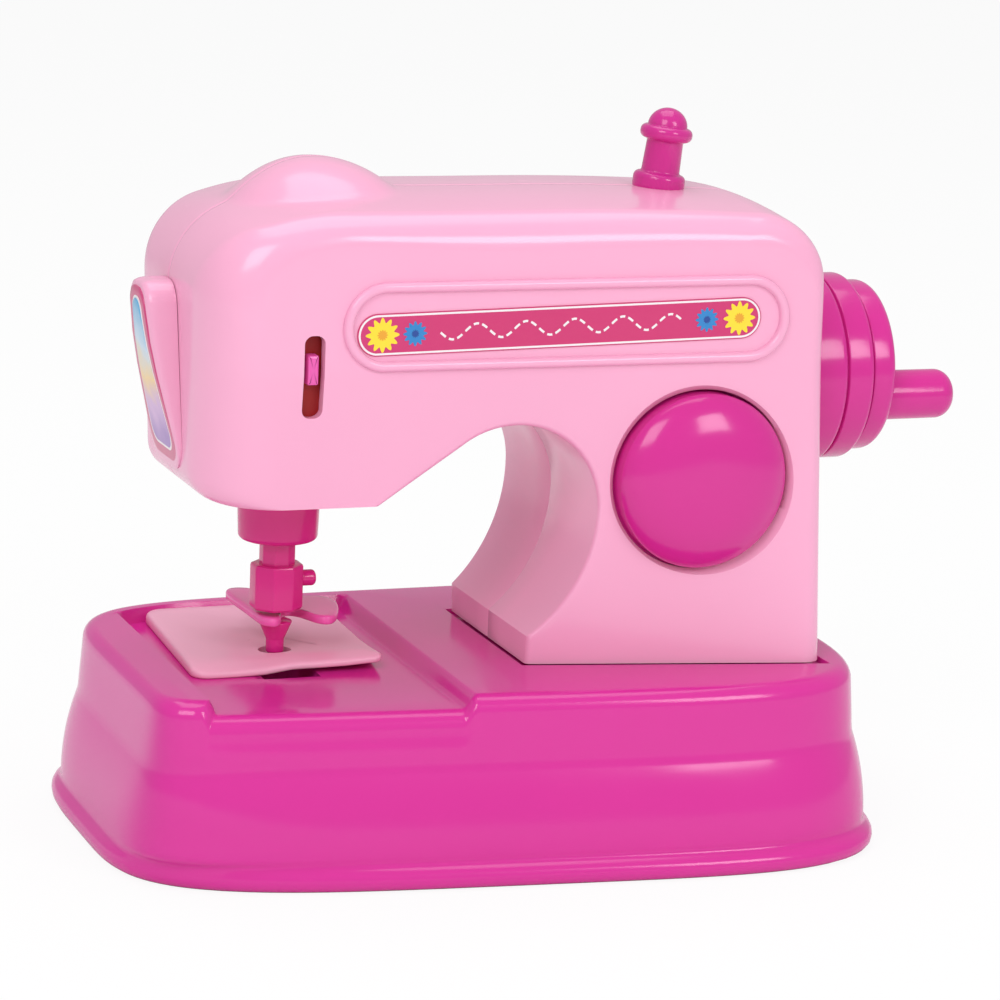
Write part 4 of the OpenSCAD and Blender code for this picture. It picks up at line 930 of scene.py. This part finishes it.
class TOY_OT_end_panel(bpy.types.Operator):
    """Builds the raised panel on the left end of the head, with its printed picture"""
    bl_idname = "toy.end_panel"
    bl_label = "End panel"

    def execute(self, context):
        b = in_mm(context.scene.toy_body)
        low, high = node_box("end_panel")
        half, z0, z1 = high[1] * 0.86, low[2] - 2, high[2] + 0.8

        def lift(p, h):
            """Height h over the rounded end, growing from the panel's foot to its head as a sine."""
            up = np.clip((p[:, 1] - z0) / (z1 - z0), 0, 1)
            rise = h * (0.1 + 2.2 * np.sin(np.pi / 2 * up) ** 1.3)
            return np.column_stack((end_x(b, p[:, 0], p[:, 1]) - rise, p[:, 0], p[:, 1]))

        def patch(inset, r):
            """The panel's outline, narrower at its head, set in and with round corners."""
            wide, narrow = half - inset, half * 0.56 - inset
            corners = [(-wide, z0 + inset), (wide, z0 + inset), (narrow, z1 - inset), (-narrow, z1 - inset)]
            return denser(round_corners(corners, [r] * 4, 10, True), 4)

        def add(name, inset, r, levels, slot, material, *nodes):
            piece(plate_object(name, patch(inset, r), levels, lift, 60), "frame", slot, material, *nodes)

        add("end_plate", 0, 4.5, [(0, 0.05), (0, 1.5), (0.15, 1.95), (0.5, 2.3), (1.0, 2.4)],
            "pink_body", body_pink(), "end_panel")
        add("end_band", 1.3, 3.7, [(0, 2.3), (0, 2.46), (0.1, 2.5)], "printed_label",
            printed("crimson band", (0.62, 0.05, 0.2), 0.3, 0.08, 0.3, 0.05), "end_label")
        add("end_line", 3.0, 2.8, [(0, 2.4), (0, 2.54), (0.1, 2.56)], "printed_label", white_print())
        add("end_picture", 3.45, 2.6, [(0, 2.5), (0, 2.59), (0.1, 2.61)], "printed_label", self.picture())
        return {"FINISHED"}

    def picture(self):
        """Soft bands of pastel colour across the height, bent by noise."""
        material = printed("pastel print", (0.6, 0.5, 0.8), 0.3, 0.05)
        nodes, link = material.node_tree.nodes, material.node_tree.links.new
        place = nodes.new("ShaderNodeTexCoord")
        split = nodes.new("ShaderNodeSeparateXYZ")
        link(place.outputs["Object"], split.inputs[0])
        noise = nodes.new("ShaderNodeTexNoise")
        set_inputs(noise, {"Scale": 160})
        link(place.outputs["Object"], noise.inputs["Vector"])
        bend = nodes.new("ShaderNodeMath")
        bend.operation = "MULTIPLY_ADD"
        bend.inputs[1].default_value = 0.009
        link(noise.outputs["Fac"], bend.inputs[0])
        link(split.outputs["Z"], bend.inputs[2])
        scale = nodes.new("ShaderNodeMapRange")
        set_inputs(scale, {"From Min": 0.076, "From Max": 0.100})
        link(bend.outputs[0], scale.inputs["Value"])
        ramp = nodes.new("ShaderNodeValToRGB")
        stops = [(0.0, (0.30, 0.12, 0.50)), (0.28, (0.62, 0.35, 0.68)), (0.5, (0.90, 0.62, 0.22)),
                 (0.72, (0.55, 0.70, 0.85)), (1.0, (0.10, 0.42, 0.72))]
        elements = ramp.color_ramp.elements
        for k, (position, colour) in enumerate(stops):
            e = elements[k] if k < 2 else elements.new(position)
            e.position = position
            e.color = (*colour, 1)
        link(scale.outputs["Result"], ramp.inputs["Fac"])
        group = next(n for n in nodes if n.type == "GROUP")
        link(ramp.outputs["Color"], group.inputs["Color"])
        return material


class TOY_OT_hand_wheel(bpy.types.Operator):
    """Builds the stepped hand wheel and its crank handle"""
    bl_idname = "toy.hand_wheel"
    bl_label = "Hand wheel"

    def execute(self, context):
        low, high = node_box("hand_wheel")
        r, wide = (high[1] - low[1]) / 2, high[0] - low[0]
        # The first two discs end at 7.2 and 12.8 in a wheel drawn 17.8 wide, each with a groove behind it
        first, second, groove = wide * 7.2 / 17.8, wide * 12.8 / 17.8, 0.35
        points = [(0, 0), (r, 0), (r, first - groove), (r * 0.91, first), (r * 0.965, first + groove),
                  (r * 0.965, second - groove), (r * 0.83, second), (r * 0.885, second + groove), (r * 0.885, wide),
                  (0, wide)]
        profile = round_corners(points, [0, 1.2, 1.1, 0.12, 0.3, 1.1, 0.12, 0.3, 1.7, 0], 10)
        origin = (low[0], 0, (low[2] + high[2]) / 2)
        rings = lathe_object("wheel_rings", profile, origin, (1, 0, 0), 160, sharp=50)
        piece(rings, "wheel", "magenta_controls", control_magenta(), "hand_wheel")

        start = high[0] - 0.6
        low, high = node_box("crank_handle")
        r, long = (high[1] - low[1]) / 2, high[0] - start
        profile = round_corners([(0, 0), (r, 0), (r * 0.985, long), (0, long)], [0, 0, 3.2, 0], 16)
        peg = lathe_object("crank_peg", profile, (start, *node_middle("crank_handle")[1:]), (1, 0, 0), 72)
        piece(peg, "wheel", "magenta_controls", control_magenta(), "crank_handle")
        return {"FINISHED"}


class TOY_OT_spool_pin(bpy.types.Operator):
    """Builds the leaning spool pin with its flange, rim and round cap"""
    bl_idname = "toy.spool_pin"
    bl_label = "Spool pin"

    def execute(self, context):
        lean, foot = math.radians(7), (32.5, 0, 115.32)
        # Flange, stem, upper rim and neck, as (radius, height)
        points = [(0, -2), (4.2, -2), (4.75, 0.3), (4.75, 2.6), (3.5, 2.75), (3.3, 8.6), (4.75, 8.7), (4.75, 11.1),
                  (3.6, 11.2), (3.55, 11.6)]
        profile = round_corners(points, [0, 0, 1.1, 1.1, 0.4, 0.4, 1.15, 1.15, 0.2, 0], 8)
        a = np.radians(np.linspace(5, 90, 14))
        cap = np.column_stack((3.6 * np.cos(a), 11.1 + 3.4 * np.sin(a)))
        axis = (math.sin(lean), 0, math.cos(lean))
        post = lathe_object("spool_post", np.concatenate((profile, cap)), foot, axis, 72, sharp=60)
        crimson = plastic("crimson spool plastic", tuple(0.94 * c for c in colours().control), 0.2)
        piece(post, "frame", "magenta_controls", crimson, "spool_pin")
        return {"FINISHED"}


class TOY_OT_push_button(bpy.types.Operator):
    """Builds the domed push button: height = dome * (1 - out^2.5)^0.62, where out is the share of the radius"""
    bl_idname = "toy.push_button"
    bl_label = "Push button"

    def execute(self, context):
        r, wide, dome = BUTTON_CAP, BUTTON_FLANGE, 5.0
        out = np.cos(np.linspace(0, np.pi / 2, 40)) ** 0.8
        out[-1] = 0
        cap = np.column_stack((r * out, dome * (1 - out ** 2.5) ** 0.62))
        edge = round_corners([(0, -4.6), (wide, -4.6), (wide, -3.4), (r, -3.4), (r, -0.1)], [0, 0.2, 0.2, 0.3, 0], 6)
        x, z = button_middle()
        centre = (x, node_box("push_button")[0][1] + dome, z)
        button = lathe_object("button_cap", np.concatenate((edge, cap)), centre, (0, -1, 0), 144, sharp=60)
        piece(button, "button", "magenta_controls", control_magenta(), "push_button")
        return {"FINISHED"}


class TOY_OT_needle_group(bpy.types.Operator):
    """Builds the collar, the faceted bar and clamp, the foot, the needle, the knob and the take-up tab"""
    bl_idname = "toy.needle_group"
    bl_label = "Needle group"

    def execute(self, context):
        b = in_mm(context.scene.toy_body)
        crimson = needle_crimson()
        low, high = node_box("needle_bar")
        x = (low[0] + high[0]) / 2

        def eight(width, soft):
            """An octagon with softened corners."""
            a = np.radians(22.5 + 45 * np.arange(8))
            corners = width / 2 / math.cos(math.radians(22.5)) * np.column_stack((np.cos(a), np.sin(a)))
            return round_corners(corners, [soft] * 8, 5, True) + (x, 0)

        def add(obj, body, *nodes, finish=crimson):
            piece(obj, body, "crimson_needle_group", finish, *nodes)

        levels = [(0.2, low[2]), (0, low[2] + 0.2), (0, high[2])]
        add(plate_object("needle_rod", eight(6, 0.5), levels, on_floor), "needle", "needle_bar")
        low, high = node_box("needle_clamp")
        levels = [(0.3, low[2] - 0.4), (0, low[2]), (0, high[2] - 0.5), (0.15, high[2] - 0.15), (0.5, high[2])]
        add(plate_object("clamp_block", eight(8.9, 0.7), levels, on_floor), "needle", "needle_clamp")
        low, high = node_box("clamp_screw")
        reach = high[0] - low[0]
        points = [(0, 0), (1.0, 0), (1.0, reach - 2.9), (1.45, reach - 2.7), (1.45, reach), (0, reach)]
        knob = round_corners(points, [0, 0, 0, 0.1, 0.7, 0], 8)
        place = (low[0], 0, (low[2] + high[2]) / 2)
        add(lathe_object("clamp_knob", knob, place, (1, 0, 0), 48), "needle", "clamp_screw")
        low, under = node_box("needle_bar_collar")[0], 63.7
        points = [(3.6, under), (3.6, low[2]), (7.1, low[2]), (7.5, under + 0.3), (3.6, under + 0.3)]
        collar = round_corners(points, [0, 0.2, 1.0, 0, 0], 8)
        add(lathe_object("bar_collar", collar, (x, 0, 0), (0, 0, 1), 96), "frame", "needle_bar_collar")
        # The foot is the needle group's crimson lightened: painted top light and sheen on the same plastic.
        foot = plastic("foot plastic with painted light", (0.84, 0.11, 0.42), 0.2)
        add(self.foot(x), "needle", "presser_foot", finish=foot)
        low = node_box("needle")[0]
        points = [(0, low[2]), (0.75, low[2] + 0.02), (1.6, low[2] + 0.9), (1.65, 34.8), (3.05, 38.1), (2.0, 38.3),
                  (0, 38.3)]
        tip = round_corners(points, [0, 0.3, 0.4, 0.2, 0.2, 0, 0], 5)
        add(lathe_object("needle_point", tip, (x, 0, 0), (0, 0, 1), 48), "needle", "needle")

        low, high = node_box("take_up_lever")
        x, half = (low[0] + high[0]) / 2, (high[0] - low[0]) / 2
        proud = -low[1] - 2.1
        levels = [(0, 8.0), (0, proud - 0.5), (0.12, proud - 0.15), (0.45, proud)]
        tab = plate_object("take_up_tab", box_loop(x, half, low[2], high[2], 0.35, 5), levels, on_front(0))
        add(tab, "needle", "take_up_lever", finish=plastic("bright tab plastic", (0.80, 0.10, 0.42), 0.2))
        # A red plate behind the slot. Its colour is darkened well below the red works as painted shade of the deep
        # slot.
        back = b.half_depth - b.wall - 0.6
        apron = plate_object("slot_apron", box_loop(x, *APRON, 4), [(0, back - 0.9), (0, back)], on_front(0))
        add(apron, "needle", finish=plastic("red plastic darkened as painted shade", (0.30, 0.004, 0.004), 0.5, 0.1, 0.3, 0.2, 0.0))
        return {"FINISHED"}

    def foot(self, x):
        """A flat foot with two front toes and rounded lobes, its outline a closed curve through given points."""
        z = node_box("presser_foot")[0][2]
        drawn_at = -37.5
        shape = [(-41.3, 0.5), (-40.9, -3.0), (-39.1, -4.7), (-37.5, -3.2), (-36.2, 0.2), (-34.4, 2.4), (-32.6, 0.6),
                 (-31.1, -3.3), (-29.6, -4.8), (-27.9, -4.2), (-25.9, -0.5), (-24.4, 4.5), (-24.4, 8.2),
                 (-26.0, 10.4), (-29.2, 11.2), (-32.6, 13.0), (-35.0, 16.4), (-37.5, 18.8), (-40.0, 19.2),
                 (-41.6, 17.6), (-41.8, 12.8), (-41.5, 6.7)]
        loop = spline_loop(np.array(shape) + (x - drawn_at, 0), 8)
        levels = [(0.35, z), (0.1, z + 0.1), (0, z + 0.4), (0, z + 1.1), (0.12, z + 1.42), (0.4, z + 1.6)]
        return plate_object("foot_plate", loop, levels, on_floor, 50)


class TOY_OT_cloth_pad(bpy.types.Operator):
    """Builds the soft-edged cloth pad with its drooping front and the curl that lifts it to the right"""
    bl_idname = "toy.cloth_pad"
    bl_label = "Cloth pad"

    def execute(self, context):
        low, high = node_box("cloth_plate")
        thick, front, back = high[2] - low[2], -9.3, 33.8
        corners = [(-55.2, front), (-20.0, front), (-18.5, back), (-52.8, back)]
        loop = denser(round_corners(corners, [3.0, 1.8, 4, 4], 10, True), 6)

        def lift(p, h):
            """Height h over the floor, less a droop of the front lip, plus a curl that lifts the front to the right."""
            near = 1 - smooth_step(0.0, 11.0, p[:, 1] - front)
            curl = np.interp(p[:, 0], (-43, -39.7, -36.4, -29, -24, -19.6), (0, 0.5, 0.9, 0.9, 1.15, 1.5)) * near
            droop = 0.9 * (1 - smooth_step(0.0, 6.0, p[:, 1] - front)) ** 1.5
            return np.column_stack((p[:, 0], p[:, 1], low[2] + h - droop * h / thick + curl))

        levels = [(0.5, 0.0), (0.15, 0.12), (0, 0.5), (0, thick - 0.9), (0.15, thick - 0.4), (0.5, thick - 0.1),
                  (1.0, thick)]
        obj = plate_object("cloth_sheet", loop, levels, lift, 60)
        x = node_middle("needle_bar")[0]
        carve(obj, rod("needle_hole", 3.0, (x, 0, low[2] - 2), (0, 0, 1), 6), sharp=60)
        pale = plastic("pale pad plastic", colours().pad, 0.34, 0.08, 0.3, 0.15, 0.05)
        piece(obj, "frame", "pink_pad", pale, "cloth_plate")
        return {"FINISHED"}


class TOY_OT_works(bpy.types.Operator):
    """Gives the inner works, the cover and the screws their finishes"""
    bl_idname = "toy.works"
    bl_label = "Works and screws"

    def execute(self, context):
        finishes = {
            "magenta_base": base_magenta(),
            "white_works": plastic("white works plastic", (0.80, 0.79, 0.74), 0.4, 0.1, 0.4, 0.2, 0.0),
            "dark_works": plastic("dark works plastic", (0.035, 0.035, 0.04), 0.45, 0.2, 0.5, 0.3, 0.0),
            "red_works": plastic("red works plastic", (0.42, 0.012, 0.02), 0.35, 0.1, 0.3, 0.2, 0.0),
            "steel": plastic("bright steel", (0.62, 0.63, 0.65), 0.3, 0.15, 0.8, 0.2, 0.0, 1.0),
            "cell_wrap": plastic("cell wrap", (0.05, 0.22, 0.10), 0.25, 0.2, 0.5, 0.1, 0.2),
        }
        for part in frame["record"]["subparts"]:
            finish = finishes.get(part["material_slot"])
            obj = frame["nodes"].get(part["node"])
            if finish and obj:
                obj.data.materials.clear()
                obj.data.materials.append(finish)
        return {"FINISHED"}


class TOY_OT_stage(bpy.types.Operator):
    """Sets up the pale floor, the soft lamps, the white surround and the camera"""
    bl_idname = "toy.stage"
    bl_label = "Stage"

    def execute(self, context):
        scene = context.scene
        self.floor()
        self.surround(scene)
        for name, place, size, power in (
                ("key lamp", (-0.62, -0.72, 0.78), 0.55, 4.4), ("side lamp", (0.43, -0.88, 0.56), 0.36, 2.7),
                ("top lamp", (0.05, 0.15, 1.05), 0.8, 3.9)):
            lamp = bpy.data.lights.new(name, "AREA")
            lamp.shape, lamp.size, lamp.energy = "SQUARE", size, power
            obj = bpy.data.objects.new(name, lamp)
            obj.location = place
            obj.rotation_euler = (Vector((0, 0, 0.06)) - Vector(place)).to_track_quat("-Z", "Y").to_euler()
            scene.collection.objects.link(obj)
        self.camera(scene)
        scene.view_settings.view_transform = "Standard"
        return {"FINISHED"}

    def floor(self):
        """A wide pale floor just below the toy, which glows for the camera and keeps a soft shadow."""
        far, z = 3000, -0.02
        points = np.array([(-far, -far, z), (far, -far, z), (far, far, z), (-far, far, z)])
        obj = mesh_object("floor", points, np.array([[0, 1, 2, 3]]))
        material = bpy.data.materials.new("pale floor")
        material.use_nodes = True
        nodes, link = material.node_tree.nodes, material.node_tree.links.new
        nodes.clear()
        output, mix = nodes.new("ShaderNodeOutputMaterial"), nodes.new("ShaderNodeMixShader")
        matt, glow = nodes.new("ShaderNodeBsdfDiffuse"), nodes.new("ShaderNodeEmission")
        path = nodes.new("ShaderNodeLightPath")
        set_inputs(matt, {"Color": (0.9, 0.9, 0.9, 1)})
        set_inputs(glow, {"Color": (1, 1, 1, 1)})
        share = nodes.new("ShaderNodeMath")
        share.operation = "MULTIPLY"
        share.inputs[1].default_value = 0.9
        link(path.outputs["Is Camera Ray"], share.inputs[0])
        link(share.outputs[0], mix.inputs["Fac"])
        link(matt.outputs[0], mix.inputs[1])
        link(glow.outputs[0], mix.inputs[2])
        link(mix.outputs[0], output.inputs["Surface"])
        obj.data.materials.append(material)

    def surround(self, scene):
        """White where it is seen, and a softer grey as light and in mirrors."""
        world = bpy.data.worlds.new("studio")
        scene.world = world
        world.use_nodes = True
        nodes, link = world.node_tree.nodes, world.node_tree.links.new
        back, path = nodes["Background"], nodes.new("ShaderNodeLightPath")
        set_inputs(back, {"Color": (1, 1, 1, 1)})
        level = nodes.new("ShaderNodeMapRange")
        set_inputs(level, {"To Min": 0.54, "To Max": 1.0})
        link(path.outputs["Is Camera Ray"], level.inputs["Value"])
        link(level.outputs["Result"], back.inputs["Strength"])

    def camera(self, scene):
        """A long lens at the photograph's place: turned 20.65 degrees to the left, raised 12.49 and rolled 2.3."""
        turn, rise, roll = (math.radians(v) for v in (-20.65, 12.49, 2.30))
        target, away = Vector((0.0045, 0, 0.05846)), 0.7257
        back = Vector((math.sin(turn) * math.cos(rise), -math.cos(turn) * math.cos(rise), math.sin(rise)))
        right = Vector((math.cos(turn), math.sin(turn), 0))
        up = back.cross(right)
        side = right * math.cos(roll) + up * math.sin(roll)
        above = up * math.cos(roll) - right * math.sin(roll)
        lens = bpy.data.cameras.new("camera")
        lens.lens, lens.sensor_width, lens.clip_start = 144, 36, 0.05
        obj = bpy.data.objects.new("camera", lens)
        obj.matrix_world = Matrix((side, above, back)).transposed().to_4x4()
        obj.location = target + back * away
        scene.collection.objects.link(obj)
        scene.camera = obj


OPERATORS = (TOY_OT_base, TOY_OT_body, TOY_OT_front_label, TOY_OT_end_panel, TOY_OT_hand_wheel, TOY_OT_spool_pin,
             TOY_OT_push_button, TOY_OT_needle_group, TOY_OT_cloth_pad, TOY_OT_works, TOY_OT_stage)


class TOY_PT_panel(bpy.types.Panel):
    """Lists the pieces of the machine"""
    bl_label = "Toy sewing machine"
    bl_space_type = "VIEW_3D"
    bl_region_type = "UI"
    bl_category = "Toy"

    def draw(self, context):
        for operator in OPERATORS:
            self.layout.operator(operator.bl_idname)


GROUPS = {"toy_base": ToyBaseSizes, "toy_body": ToyBodySizes, "toy_colours": ToyColours}


def register():
    """Adds the size and colour groups, the operators and the panel."""
    for name, group in GROUPS.items():
        bpy.utils.register_class(group)
        setattr(bpy.types.Scene, name, bpy.props.PointerProperty(type=group))
    for cls in (*OPERATORS, TOY_PT_panel):
        bpy.utils.register_class(cls)


def unregister():
    """Takes them away again."""
    for cls in reversed((*OPERATORS, TOY_PT_panel)):
        bpy.utils.unregister_class(cls)
    for name, group in GROUPS.items():
        delattr(bpy.types.Scene, name)
        bpy.utils.unregister_class(group)


def main():
    """Builds every piece."""
    register()
    for operator in OPERATORS:
        group, name = operator.bl_idname.split(".")
        getattr(getattr(bpy.ops, group), name)()


if __name__ == "__main__":
    main()
